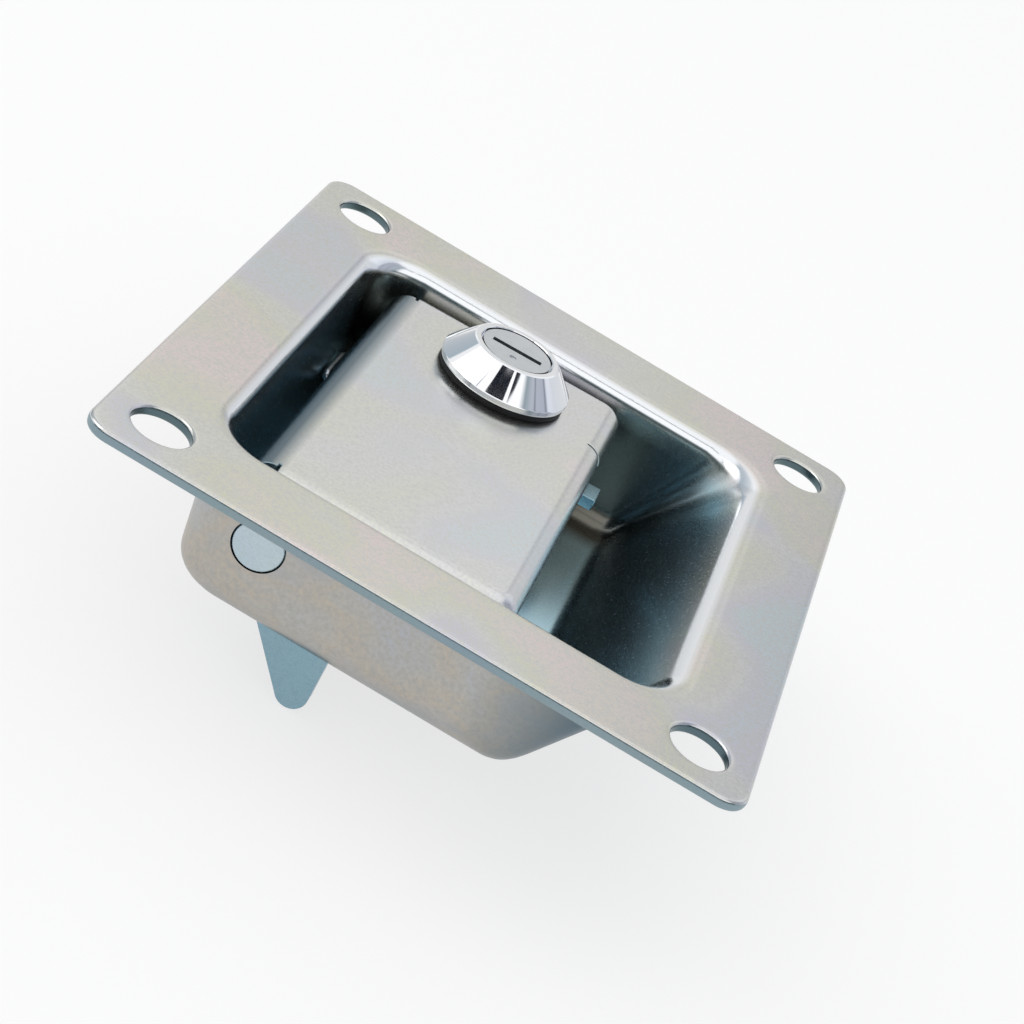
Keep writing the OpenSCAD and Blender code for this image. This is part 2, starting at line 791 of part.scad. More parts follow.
// Centres of the rivets in the foot of the keeper
function keeper_rivet_places() =
    [for (s = [-1, 1]) [keeper_x + s * (keeper_w / 2 - keeper_rivet_head_r),
        keeper_wall_y - keeper_t - foot_l / 2]];

// Keeper in side view: tab over the cam, wall and foot
module keeper_section() {
    inner = keeper_bend - keeper_t;
    wall = keeper_wall_y - keeper_t;
    top = keeper_under + keeper_t;
    translate([wall, floor_z + keeper_bend - touch])
        square([keeper_t, top - floor_z - 2 * (keeper_bend - touch)]);
    translate([wall + keeper_bend, top - keeper_bend]) mirror([1, 0]) bend_section(keeper_bend, keeper_t);
    translate([wall + keeper_bend - touch, keeper_under]) square([tab_l - inner, keeper_t]);
    translate([wall - inner, floor_z + keeper_bend]) mirror([0, 1]) bend_section(keeper_bend, keeper_t);
    translate([wall - foot_l, floor_z]) square([foot_l - inner + touch, keeper_t]);
}

module cam_keeper() {
    color(cut_steel) difference() {
        translate([keeper_x - keeper_w / 2, 0, 0]) rotate([90, 0, 90])
            linear_extrude(keeper_w) keeper_section();
        for (place = keeper_rivet_places())
            translate([place[0], place[1], floor_z - 1])
                cylinder(d = keeper_rivet_d + 2 * touch, h = keeper_t + 2);
    }
}

module keeper_rivets() {
    color(cut_steel) for (place = keeper_rivet_places()) translate([place[0], place[1], 0]) {
        translate([0, 0, under_z]) cylinder(d = keeper_rivet_d, h = sheet + keeper_t);
        translate([0, 0, floor_z + keeper_t])
            cylinder(r1 = keeper_rivet_head_r, r2 = keeper_rivet_head_r - keeper_rivet_edge,
                h = keeper_rivet_head_t);
        translate([0, 0, under_z - keeper_rivet_head_t])
            cylinder(r1 = keeper_rivet_head_r - keeper_rivet_edge, r2 = keeper_rivet_head_r,
                h = keeper_rivet_head_t);
    }
}

dish_plate();
paddle();
pivot_pin();
near_thrust_washer();
far_thrust_washer();
near_clip();
far_clip();
hook_blade();
hook_rivets();
return_spring();
lock_housing();
bezel_seal();
key_plug();
wafer_1();
wafer_2();
wafer_3();
wafer_4();
wafer_springs();
nut_washer();
clamping_nut();
turn_stop();
cam();
cam_washer();
cam_screw();
cam_keeper();
keeper_rivets();
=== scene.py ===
import json
import math

import bmesh
import bpy
from bpy.props import FloatProperty, FloatVectorProperty, IntProperty, PointerProperty
from mathutils import Matrix, Vector


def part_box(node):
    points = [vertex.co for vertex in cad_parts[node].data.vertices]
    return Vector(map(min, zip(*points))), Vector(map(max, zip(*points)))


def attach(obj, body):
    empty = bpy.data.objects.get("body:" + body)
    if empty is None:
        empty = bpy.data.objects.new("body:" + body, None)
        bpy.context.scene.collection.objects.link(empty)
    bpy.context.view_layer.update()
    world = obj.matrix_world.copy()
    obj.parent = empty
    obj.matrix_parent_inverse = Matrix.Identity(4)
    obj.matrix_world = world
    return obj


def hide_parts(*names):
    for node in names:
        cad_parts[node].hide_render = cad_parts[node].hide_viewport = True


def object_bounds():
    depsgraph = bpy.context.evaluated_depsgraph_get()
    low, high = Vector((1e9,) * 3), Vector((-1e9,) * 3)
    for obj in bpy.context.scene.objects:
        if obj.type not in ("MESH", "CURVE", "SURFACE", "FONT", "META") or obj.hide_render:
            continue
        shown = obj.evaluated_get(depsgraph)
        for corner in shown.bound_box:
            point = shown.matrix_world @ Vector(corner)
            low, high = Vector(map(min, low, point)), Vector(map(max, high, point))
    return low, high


bl_info = {
    "name": "Recessed hook lock",
    "version": (1, 0, 0),
    "blender": (4, 5, 0),
    "location": "3D View > Sidebar > Hook Lock",
    "description": "Builds the pressed dish, paddle, key cylinder and hook of a recessed lock",
    "category": "Object",
}

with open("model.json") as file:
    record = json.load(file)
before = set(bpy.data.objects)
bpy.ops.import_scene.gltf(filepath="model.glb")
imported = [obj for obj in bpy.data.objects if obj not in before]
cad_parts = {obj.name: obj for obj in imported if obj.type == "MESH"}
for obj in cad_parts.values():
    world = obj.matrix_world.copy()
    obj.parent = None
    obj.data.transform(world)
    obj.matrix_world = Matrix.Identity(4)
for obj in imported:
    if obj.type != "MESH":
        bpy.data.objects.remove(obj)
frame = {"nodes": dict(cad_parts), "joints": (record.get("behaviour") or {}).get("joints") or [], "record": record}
cad_box = [list(corner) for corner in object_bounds()]

MM = 0.001
HINGE = next(joint for joint in frame["joints"] if joint["name"] == "paddle_pivot")
TURN = next(joint for joint in frame["joints"] if joint["name"] == "plug_turn")
BOLTS = next(m for m in frame["record"]["mounts"] if m["name"] == "panel_bolts")["dims"]
DISH_LOW, DISH_HIGH = (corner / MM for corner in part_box("dish_plate"))
PIVOT = Vector(HINGE["pos_m"])
CYLINDER = Vector(TURN["pos_m"])
CYLINDER_AXIS = Vector(TURN["axis"])
TILT = math.atan2(-CYLINDER_AXIS.x, CYLINDER_AXIS.z)

# From millimetres along the paddle, with the origin on the pivot, to metres in the frame
LEVER = Matrix.Translation(PIVOT) @ Matrix.Rotation(-TILT, 4, "Y") @ Matrix.Scale(MM, 4)
# The same with the origin where the cylinder's axis meets the paddle's face
LOCK = Matrix.Translation(CYLINDER) @ Matrix.Rotation(-TILT, 4, "Y") @ Matrix.Scale(MM, 4)
PLAIN = Matrix.Scale(MM, 4)


def size(name, description, default, low=0.01, high=300.0):
    """A length in millimetres."""
    return FloatProperty(name=name, description=description, default=default, min=low, max=high)


def colour(name, description, default):
    return FloatVectorProperty(
        name=name, description=description, default=default, subtype="COLOR", size=3, min=0, max=1
    )


class DishSizes(bpy.types.PropertyGroup):
    face: size("Face height", "Top of the flange in mm", DISH_HIGH.z)
    bottom: size("Dish depth", "Underside of the dish below the flange in mm", -DISH_LOW.z)
    length: size("Flange length", "Flange along Y in mm", DISH_HIGH.y - DISH_LOW.y)
    width: size("Flange width", "Flange along X in mm", DISH_HIGH.x - DISH_LOW.x)
    corner: size("Flange corner", "Corner radius of the flange in mm", 5.0)
    sheet: size("Sheet", "Thickness of the pressed sheet in mm", DISH_HIGH.z)
    opening_x: size("Opening width", "Dish opening along X in mm", 95.0)
    opening_y: size("Opening length", "Dish opening along Y in mm", 106.4)
    opening_corner: size("Opening corner", "Corner radius of the opening in mm", 11.0)
    scoop_corner: size("Scoop corner", "Corner radius at the scoop's foot in mm", 3.0)
    pivot_corner: size("Pivot corner", "Corner radius at the pivot end's foot in mm", 6.0)
    rim: size("Rim", "Radius of the rim on three sides in mm", 3.5)
    scoop_rim: size("Scoop rim", "Radius of the rim over the scoop in mm", 5.5)
    foot: size("Foot", "Radius between walls and floor in mm", 5.0)
    scoop_foot: size("Scoop foot", "Radius between scoop and floor in mm", 4.0)
    end_draft: FloatProperty(
        name="End draft", description="Lean of the pivot end wall", default=math.radians(10),
        unit="ROTATION",
    )
    side_draft: FloatProperty(
        name="Side draft", description="Lean of the side walls", default=math.radians(1.5),
        unit="ROTATION",
    )
    scoop_lean: FloatProperty(
        name="Scoop lean", description="Lean of the finger scoop", default=math.radians(35),
        unit="ROTATION",
    )
    edge: size("Edge", "Rounding of the cut edges in mm", 0.75)
    pin_gap: size("Pin gap", "Gap round the pin in the walls in mm", 0.05)
    slot_gap: size("Slot gap", "Gap on each side of the hook in its slot in mm", 0.6)
    slot_end_gap: size("Slot end gap", "Gap at the ends of the hook's slot in mm", 0.3)
    rivet_hole: size("Rivet hole", "Radius of the holes for the keeper's rivets in mm", 1.77)
    rivet_head: size("Rivet head", "Radius of the heads of the keeper's rivets in mm", 2.8)


class PaddleSizes(bpy.types.PropertyGroup):
    sheet: size("Sheet", "Thickness of the paddle sheet in mm", 1.5)
    width: size("Width", "Paddle along Y in mm", 95.6)
    front: size("Front", "Reach from the pivot to the finger flange in mm", 44.2)
    back: size("Back", "Reach from the pivot to the pivot end flange in mm", 8.4)
    top: size("Top", "Height of the face above the pivot in mm", 11.8)
    bend: size("Bend", "Outer radius of the bends in mm", 3.9)
    back_bend: size("Pivot end bend", "Outer radius of the bend at the pivot end in mm", 4.4)
    corner: size("Corner", "Drawn corner beside the cylinder in mm", 5.0)
    near_corner: size("Near corner", "Drawn corner over the hook in mm", 4.5)
    relief: size("Relief", "Notch between two bends in mm", 0.5)
    slit: size("Slit", "Gap that ends the finger flange in mm", 0.6)
    grip: size("Grip", "Depth of the finger flange in mm", 8.0)
    back_flange: size("Back flange", "Depth of the pivot end flange in mm", 5.8)
    corner_room: size("Corner room", "Gap from the pivot end flange to a side in mm", 3.3)
    slit_place: size("Slit place", "Distance of the slit from the cylinder's axis in mm", 5.0)
    cheek: size("Cheek", "Radius of the cheeks round the pivot in mm", 8.6)
    nose: size("Nose", "Radius of the front end of the cheeks in mm", 4.0)
    nose_gap: size("Nose gap", "Gap from the nose to the finger flange in mm", 4.2)
    nose_drop: size("Nose drop", "Middle of the nose below the paddle's face in mm", 7.0)
    pin_hole: size("Pin hole", "Radius of the pin's holes in the cheeks in mm", 5.02)
    edge: size("Edge", "Rounding of the cut edges in mm", 0.22)


class CylinderSizes(bpy.types.PropertyGroup):
    foot_r: size("Bezel foot", "Radius of the bezel at its foot in mm", 13.6)
    face_r: size("Bezel face", "Radius of the bezel at its face in mm", 9.0)
    height: size("Bezel height", "Bezel above its seal in mm", 6.3)
    skirt: size("Skirt", "Straight skirt at the foot of the bezel in mm", 1.3)
    seal: size("Seal", "Thickness of the rubber seal in mm", 1.3)
    barrel_r: size("Barrel", "Radius of the barrel in mm", 9.0)
    barrel_len: size("Barrel length", "Barrel below the paddle face in mm", 10.4)
    flats: size("Flats", "Distance across the barrel flats in mm", 16.8)
    plug_r: size("Plug", "Radius of the plug in mm", 6.2)
    plug_face_r: size("Plug face", "Radius of the plug face in mm", 7.25)
    groove: size("Groove", "Depth of the wafer grooves in the bore in mm", 0.75)
    wafer_w: size("Groove width", "Width of the wafer grooves in mm", 5.4)
    pitch: size("Thread pitch", "Pitch of the barrel thread in mm", 1.0)
    thread: size("Thread depth", "Depth of the barrel thread in mm", 0.4)
    recess: size("Recess", "Depth of the recess round the plug's face in mm", 2.2)
    gap: size("Gap", "Gap round the plug and the barrel in mm", 0.05)
    face_gap: size("Face gap", "Gap round the plug's face in mm", 0.4)
    segments: IntProperty(
        name="Segments", description="Steps round a turned piece", default=96, min=24)


class Finishes(bpy.types.PropertyGroup):
    dish: colour("Dish", "Zinc-plated flange and dish", (0.64, 0.64, 0.625))
    # Painted highlight: the pale colour that the dish's rim takes
    rim: colour("Rim", "Burnished rim of the dish", (0.80, 0.82, 0.85))
    # Painted shade: the colour the dish fades to deep down, and, darker, the paddle round its pivot end bend
    inside: colour("Inside", "Thin plating deep in the dish", (0.52, 0.74, 0.84))
    # Partly painted shade: the outer walls' base is darker than the face's, and the walls are duller too
    outside: colour("Outside", "Outer walls of the dish", (0.50, 0.49, 0.465))
    # Cut edges: partly bare sheared steel, partly painted shade in their dark teal
    sheared_and_shade: colour("Cut edges", "Cut edges of the sheets", (0.28, 0.37, 0.41))
    paddle: colour("Paddle", "Zinc-plated paddle", (0.68, 0.685, 0.68))
    fitting: colour("Fittings", "Bluish zinc on the pin and fasteners", (0.52, 0.62, 0.66))
    # On the cam, this darker blue is painted shade
    blade: colour("Blade", "Darker blue zinc on the hook and cam", (0.27, 0.42, 0.51))
    chrome: colour("Bezel", "Polished chrome", (0.86, 0.87, 0.885))
    plug: colour("Plug", "Satin plug face", (0.60, 0.62, 0.64))
    rubber: colour("Seal", "Black rubber", (0.012, 0.012, 0.013))
    brass: colour("Wafers", "Bare brass", (0.72, 0.52, 0.22))
    wire: colour("Wire", "Drawn spring wire", (0.5, 0.53, 0.56))
    floor: colour("Floor", "Plain floor", (0.93, 0.93, 0.93))


class HookLock(bpy.types.PropertyGroup):
    dish: PointerProperty(type=DishSizes)
    paddle: PointerProperty(type=PaddleSizes)
    cylinder: PointerProperty(type=CylinderSizes)
    finish: PointerProperty(type=Finishes)


# Materials

FINISHES = {}
# Most values of a noise lie in this span
NOISE_SPAN = (0.3, 0.7)
# Heights in metres between which the rim of the dish gets a painted highlight and a lower roughness, with soft
# ends
RIM_TOP, RIM_FOOT = (0.0021, 0.0016), (0.0002, -0.0006)
# Changes of the plating's colour with the noise of its clouds
TINTS = (
    (0.34, (0.08, -0.03, -0.03)), (0.43, (-0.01, -0.01, -0.13)), (0.51, (0, 0, 0)),
    (0.58, (-0.06, -0.07, 0.04)), (0.67, (-0.13, -0.02, 0.05)),
)
# Shares of the outer walls' colour in their stains
STAINS = (
    (0.32, (0.92, 0.98, 1.12)), (0.44, (1, 1, 1)), (0.52, (1.06, 0.98, 0.88)),
    (0.60, (0.98, 0.98, 1.0)), (0.70, (0.84, 0.90, 0.98)),
)


def new_material(name):
    """Adds a material to FINISHES; returns its nodes, its shader and the place patterns read."""
    material = bpy.data.materials.new(name)
    material.use_nodes = True
    tree = material.node_tree
    tree.nodes.clear()
    output = tree.nodes.new("ShaderNodeOutputMaterial")
    shader = tree.nodes.new("ShaderNodeBsdfPrincipled")
    tree.links.new(shader.outputs["BSDF"], output.inputs["Surface"])
    FINISHES[name] = material
    return tree, shader, tree.nodes.new("ShaderNodeTexCoord").outputs["Object"]


def mapped(tree, place, scale, offset=(0, 0, 0)):
    mapping = tree.nodes.new("ShaderNodeMapping")
    mapping.inputs["Scale"].default_value = scale
    mapping.inputs["Location"].default_value = offset
    tree.links.new(place, mapping.inputs["Vector"])
    return mapping.outputs["Vector"]


def noise(tree, place, scale, detail=3.0, roughness=0.55, distortion=0.0):
    node = tree.nodes.new("ShaderNodeTexNoise")
    node.inputs["Scale"].default_value = scale
    node.inputs["Detail"].default_value = detail
    node.inputs["Roughness"].default_value = roughness
    node.inputs["Distortion"].default_value = distortion
    tree.links.new(place, node.inputs["Vector"])
    return node.outputs["Fac"]


def ramp(tree, value, stops):
    node = tree.nodes.new("ShaderNodeValToRGB")
    elements = node.color_ramp.elements
    elements.remove(elements[1])
    elements[0].position = stops[0][0]
    elements[0].color = (*stops[0][1], 1)
    for position, shade in stops[1:]:
        elements.new(position).color = (*shade, 1)
    tree.links.new(value, node.inputs["Fac"])
    return node.outputs["Color"]


def fade(tree, value, low, high, start=0.0, end=1.0):
    """value moved from the span low..high to start..end."""
    node = tree.nodes.new("ShaderNodeMapRange")
    node.inputs["From Min"].default_value = low
    node.inputs["From Max"].default_value = high
    node.inputs["To Min"].default_value = start
    node.inputs["To Max"].default_value = end
    tree.links.new(value, node.inputs["Value"])
    return node.outputs["Result"]


def calc(tree, operation, *values):
    """A Math node fed by numbers or by other nodes."""
    node = tree.nodes.new("ShaderNodeMath")
    node.operation = operation
    for socket, value in zip(node.inputs, values):
        if isinstance(value, bpy.types.NodeSocket):
            tree.links.new(value, socket)
        else:
            socket.default_value = value
    return node.outputs["Value"]


def times(tree, first, second):
    return calc(tree, "MULTIPLY", first, second)


def axes(tree, place):
    node = tree.nodes.new("ShaderNodeSeparateXYZ")
    tree.links.new(place, node.inputs["Vector"])
    return node.outputs["X"], node.outputs["Y"], node.outputs["Z"]


def mixed(tree, factor, first, second, mode="MIX"):
    node = tree.nodes.new("ShaderNodeMix")
    node.data_type = "RGBA"
    node.blend_type = mode
    for socket, value in (("Factor", factor), ("A", first), ("B", second)):
        target = next(i for i in node.inputs if i.name == socket and i.enabled)
        if isinstance(value, bpy.types.NodeSocket):
            tree.links.new(value, target)
        else:
            target.default_value = value
    return next(o for o in node.outputs if o.enabled)


def bump(tree, shader, height, strength, distance):
    node = tree.nodes.new("ShaderNodeBump")
    node.inputs["Strength"].default_value = strength
    node.inputs["Distance"].default_value = distance
    tree.links.new(height, node.inputs["Height"])
    tree.links.new(node.outputs["Normal"], shader.inputs["Normal"])


def shade_of(base, red, green, blue):
    return (base[0] * red, base[1] * green, base[2] * blue)


def grey(level):
    return (level, level, level, 1)


def worn(tree, pattern, base, dark):
    """The base colour, with a darker share of it in the hollows of a pattern."""
    low, high = NOISE_SPAN
    return ramp(tree, pattern, [(low, shade_of(base, *dark)), (high, base[:])])


def mottled(tree, tints, mottle, span, base, share):
    """Tints, with one darker share of the base in the hollows of a fine mottle."""
    dark = (*shade_of(base, share, share, share), 1)
    return mixed(tree, fade(tree, mottle, *span), dark, tints)


def surface(tree, shader, colour_now, roughness, metallic=1.0):
    tree.links.new(colour_now, shader.inputs["Base Color"])
    tree.links.new(roughness, shader.inputs["Roughness"])
    shader.inputs["Metallic"].default_value = metallic


def zinc(name, base, sheen, grain, tint=1.0, depth_shade=None, axis=2, span=(0.0004, -0.0050),
         rim_highlight=None, far_wall_shade=None):
    """Zinc plating: cloudy warm and cool tints over a fine crystalline grain.

    Along the axis, through the span in metres, it fades to a colour of painted shade. The rim
    gets a painted highlight, and is less rough where the press tool drew the sheet over. The wall
    by the cylinder gets a darker painted shade still, the more so away from the scoop.
    """
    tree, shader, place = new_material(name)
    where = axes(tree, place)
    clouds = noise(tree, place, 26.0, detail=2.0, roughness=0.5, distortion=0.6)
    mottle = noise(tree, place, 1500.0, roughness=0.7)
    crystals = noise(tree, place, 2200.0, roughness=0.7)
    tints = ramp(tree, clouds, [
        (stop, shade_of(base, *(1 + change * tint for change in changes)))
        for stop, changes in TINTS
    ])
    colour_now = mottled(tree, tints, mottle, (0.35, 0.6), base, 0.90)
    roughness = fade(tree, mottle, *NOISE_SPAN, *sheen)
    # Painted highlight: the rim turns paler, and a little less rough
    if rim_highlight is not None:
        painted_rim_highlight = times(
            tree, fade(tree, where[2], *RIM_TOP), fade(tree, where[2], *RIM_FOOT, 1.0, 0.0))
        colour_now = mixed(tree, painted_rim_highlight, colour_now, (*rim_highlight, 1))
        roughness = calc(tree, "SUBTRACT", roughness, times(tree, painted_rim_highlight, 0.09))
    # Painted shade: along the axis the colour fades to a darker one, and the grain flattens
    if depth_shade is not None:
        along = fade(tree, where[axis], *span)
        coat = (*depth_shade, 1)
        # Painted shade: darker still on the far wall by the cylinder, the more so away from the scoop
        if far_wall_shade is not None:
            far = times(tree, fade(tree, where[1], 0.037, 0.043),
                        fade(tree, where[0], 0.022, 0.042, 1.0, 0.1))
            coat = mixed(tree, far, coat, (*far_wall_shade, 1))
        colour_now = mixed(tree, along, colour_now, coat)
        crystals = mixed(tree, along, crystals, grey(0.5))
    surface(tree, shader, colour_now, roughness)
    bump(tree, shader, crystals, grain, 0.00002)


def stained(name, base):
    """The outer walls: dull plating with brown and blue stains, painted shade round the scoop end, and darker
    towards the bottom.
    """
    tree, shader, place = new_material(name)
    x, _, z = axes(tree, place)
    stains = noise(
        tree, mapped(tree, place, (1.0, 1.0, 1.8)), 38.0, roughness=0.6, distortion=0.8)
    mottle = noise(tree, place, 1100.0, roughness=0.7)
    tints = ramp(tree, stains, [(stop, shade_of(base, *shares)) for stop, shares in STAINS])
    colour_now = mottled(tree, tints, mottle, (0.3, 0.65), base, 0.82)
    # Painted shade towards the scoop end, and darker towards the bottom
    darker = calc(tree, "MAXIMUM", fade(tree, x, 0.014, 0.034),
                  fade(tree, z, -0.025, -0.030, 0.0, 0.6))
    colour_now = mixed(tree, darker, colour_now, (*shade_of(base, 0.22, 0.34, 0.44), 1))
    surface(tree, shader, colour_now, fade(tree, mottle, *NOISE_SPAN, 0.30, 0.40))
    bump(tree, shader, mottle, 0.12, 0.00003)


def polished(name, base, roughness):
    """Chrome with the faint haze of handling."""
    tree, shader, place = new_material(name)
    haze = noise(tree, place, 180.0, roughness=0.6)
    surface(tree, shader, worn(tree, haze, base, (0.97, 0.98, 1.0)),
            fade(tree, haze, *NOISE_SPAN, roughness * 0.6, roughness * 1.5))


def satin(name, base, sheen, centre):
    """A faced end: fine rings round the turning centre under a soft sheen."""
    tree, shader, place = new_material(name)
    per_metre = 2600
    node = tree.nodes.new("ShaderNodeTexWave")
    node.wave_type = "RINGS"
    node.rings_direction = "Z"
    node.inputs["Scale"].default_value = 1.0
    node.inputs["Distortion"].default_value = 1.5
    node.inputs["Detail"].default_value = 2.0
    about = mapped(tree, place, [per_metre] * 3, [-c * per_metre for c in centre])
    tree.links.new(about, node.inputs["Vector"])
    rings = node.outputs["Fac"]
    wear = noise(tree, place, 350.0)
    surface(tree, shader, worn(tree, wear, base, (0.92, 0.93, 0.95)),
            fade(tree, mixed(tree, 0.5, wear, rings), 0.2, 0.8, *sheen))
    bump(tree, shader, rings, 0.12, 0.00001)


def drawn_wire(name, base):
    tree, shader, place = new_material(name)
    lines = noise(tree, mapped(tree, place, (900.0, 200.0, 900.0)), 1.0)
    surface(tree, shader, worn(tree, lines, base, (0.8, 0.8, 0.8)),
            fade(tree, lines, *NOISE_SPAN, 0.22, 0.36))


def brass(name, base):
    tree, shader, place = new_material(name)
    wear = noise(tree, place, 700.0, detail=4.0)
    surface(tree, shader, worn(tree, wear, base, (0.8, 0.75, 0.7)),
            fade(tree, wear, *NOISE_SPAN, 0.25, 0.4))


def rubber(name, base):
    tree, shader, place = new_material(name)
    dust = noise(tree, place, 600.0, detail=4.0, roughness=0.7)
    dusty = ramp(tree, dust, [(0.35, base[:]), (0.75, shade_of(base, 2.2, 2.2, 2.2))])
    surface(tree, shader, dusty, fade(tree, dust, *NOISE_SPAN, 0.45, 0.6), metallic=0.0)
    shader.inputs["Specular IOR Level"].default_value = 0.2
    bump(tree, shader, dust, 0.15, 0.00003)


def make_finishes(finish):
    """Makes every finish of the lock, most of them under the names of the record's slots."""
    inside, sheared_and_shade = finish.inside, finish.sheared_and_shade
    bend_start = PIVOT.x - 0.0028
    zinc("dish_zinc", finish.dish, (0.22, 0.28), 0.06, 1.2, inside, rim_highlight=finish.rim,
         far_wall_shade=shade_of(inside, 0.28, 0.19, 0.145))
    stained("dish_outside", finish.outside)
    # Cut edges, partly painted shade; the hole walls get a darker painted shade
    zinc("cut_edge", sheared_and_shade, (0.30, 0.42), 0.10, 0.4)
    zinc("hole_edge_shade", shade_of(sheared_and_shade, 0.45, 0.5, 0.5), (0.30, 0.42), 0.10, 0.4)
    # Painted shade: the paddle darkens round its pivot end bend
    zinc("paddle_zinc", finish.paddle, (0.22, 0.27), 0.05, 0.8,
         shade_of(inside, 0.19, 0.20, 0.21), 0, (bend_start, bend_start - 0.0030))
    zinc("fitting_zinc", finish.fitting, (0.22, 0.30), 0.05, 0.5)
    zinc("blade_zinc", finish.blade, (0.24, 0.32), 0.05, 0.6)
    polished("bezel_chrome", finish.chrome, 0.05)
    satin("plug_satin", finish.plug, (0.22, 0.36), CYLINDER)
    rubber("seal_rubber", finish.rubber)
    brass("wafer_brass", finish.brass)
    drawn_wire("spring_wire", finish.wire)


# Mesh helpers, all in millimetres


def arc(centre, radius, start, end, steps):
    """Points on an arc in a plane, both ends included, angles in degrees."""
    return [
        Vector((
            centre[0] + radius * math.cos(math.radians(start + (end - start) * i / steps)),
            centre[1] + radius * math.sin(math.radians(start + (end - start) * i / steps)),
        ))
        for i in range(steps + 1)
    ]


def closed_loop(bm, points):
    """A closed ring of vertices and edges through points; returns its edges."""
    verts = [bm.verts.new(point) for point in points]
    return [bm.edges.new((verts[i - 1], verts[i])) for i in range(len(verts))]


def open_chain(bm, points):
    verts = [bm.verts.new(point) for point in points]
    return verts, [bm.edges.new(pair) for pair in zip(verts, verts[1:])]


def turned(bm, profile, segments):
    """Spins a closed profile of (radius, height) points round Z."""
    edges = closed_loop(bm, [(r, 0, z) for r, z in profile])
    verts = list({v for e in edges for v in e.verts})
    bmesh.ops.spin(
        bm, geom=verts + edges, cent=(0, 0, 0), axis=(0, 0, 1), angle=math.tau,
        steps=segments, use_merge=True, use_duplicate=False,
    )
    bmesh.ops.remove_doubles(bm, verts=bm.verts, dist=0.0005)
    bmesh.ops.recalc_face_normals(bm, faces=bm.faces)


def close_skin(bm, distance):
    """Merges the seams of a skin and turns its upper side outwards."""
    bmesh.ops.remove_doubles(bm, verts=bm.verts, dist=distance)
    bmesh.ops.recalc_face_normals(bm, faces=bm.faces)
    bm.faces.ensure_lookup_table()
    if max(bm.faces, key=lambda f: f.calc_center_median().z).normal.z < 0:
        bmesh.ops.reverse_faces(bm, faces=bm.faces)


def piece(bm, name, place):
    """A new object whose place is in its mesh."""
    bm.transform(place)
    mesh = bpy.data.meshes.new(name)
    bm.to_mesh(mesh)
    bm.free()
    obj = bpy.data.objects.new(name, mesh)
    bpy.context.scene.collection.objects.link(obj)
    return obj


def modifier(obj, kind, **values):
    added = obj.modifiers.new(kind.title(), kind)
    for key, value in values.items():
        setattr(added, key, value)
    return added


def freeze(obj):
    """Puts the result of the modifiers in the mesh."""
    bpy.context.view_layer.update()
    shown = obj.evaluated_get(bpy.context.evaluated_depsgraph_get())
    mesh = bpy.data.meshes.new_from_object(shown)
    old = obj.data
    obj.modifiers.clear()
    obj.data = mesh
    bpy.data.meshes.remove(old)


def thickened(obj, sheet, *coats):
    """Makes a skin into a sheet; coats finish its upper side, its underside and its cut edges."""
    for coat in coats:
        obj.data.materials.append(FINISHES[coat])
    modifier(
        obj, "SOLIDIFY", thickness=sheet * MM, offset=-1, use_even_offset=True,
        material_offset=1, material_offset_rim=2,
    )
    freeze(obj)


def edge_cutter(bm, name, place, *coats):
    """A cutter that leaves the last of coats on what it cuts."""
    cutter = piece(bm, name, place)
    for coat in coats:
        cutter.data.materials.append(FINISHES[coat])
    for polygon in cutter.data.polygons:
        polygon.material_index = len(coats) - 1
    return cutter


def cut(obj, cutter):
    """Takes the cutter's solid out of the piece."""
    modifier(obj, "BOOLEAN", operation="DIFFERENCE", solver="EXACT", object=cutter)
    freeze(obj)
    bpy.data.objects.remove(cutter)


def rod(bm, centre, axis, radius, length, segments):
    """A closed cylinder about centre."""
    turn = Vector((0, 0, 1)).rotation_difference(Vector(axis)).to_matrix().to_4x4()
    bmesh.ops.create_cone(
        bm, cap_ends=True, segments=segments, radius1=radius, radius2=radius, depth=length,
        matrix=Matrix.Translation(centre) @ turn,
    )


def block(bm, low, high):
    low, high = Vector(low), Vector(high)
    scale = Matrix.Diagonal((*(high - low), 1))
    bmesh.ops.create_cube(bm, size=1, matrix=Matrix.Translation((low + high) / 2) @ scale)


def rounded_edges(obj, width, angle, segments, clamp=True):
    modifier(
        obj, "BEVEL", width=width * MM, segments=segments, limit_method="ANGLE",
        angle_limit=math.radians(angle), use_clamp_overlap=clamp,
    )
    freeze(obj)


def dressed(obj, body, slot, *nodes, sharp=38):
    """Gives a finished piece its finish, its body and the nodes that it stands for."""
    for polygon in obj.data.polygons:
        polygon.use_smooth = True
    obj.data.set_sharp_from_angle(angle=math.radians(sharp))
    modifier(obj, "WEIGHTED_NORMAL", mode="FACE_AREA", weight=50, keep_sharp=True)
    if not obj.data.materials:
        obj.data.materials.append(FINISHES[slot])
    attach(obj, body)
    if nodes:
        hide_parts(*nodes)


def refined(node, body, slot, width, coat=None):
    """A copy of a node with its flat faces joined and its edges broken.

    A coat is a finish of the scene that stands for the slot's own.
    """
    bm = bmesh.new()
    bm.from_mesh(frame["nodes"][node].data)
    bm.transform(Matrix.Scale(1 / MM, 4))
    bmesh.ops.remove_doubles(bm, verts=bm.verts, dist=0.002)
    bmesh.ops.dissolve_limit(
        bm, angle_limit=math.radians(0.6), verts=bm.verts, edges=bm.edges,
        use_dissolve_boundaries=False,
    )
    obj = piece(bm, node + "_finished", PLAIN)
    obj.data.materials.append(FINISHES[coat or slot])
    rounded_edges(obj, width, angle=32, segments=2)
    dressed(obj, body, slot, node)


def repainted(node, slot):
    """Gives a node that stays as it is the finish of its slot."""
    materials = frame["nodes"][node].data.materials
    materials.clear()
    materials.append(FINISHES[slot])


# Dish


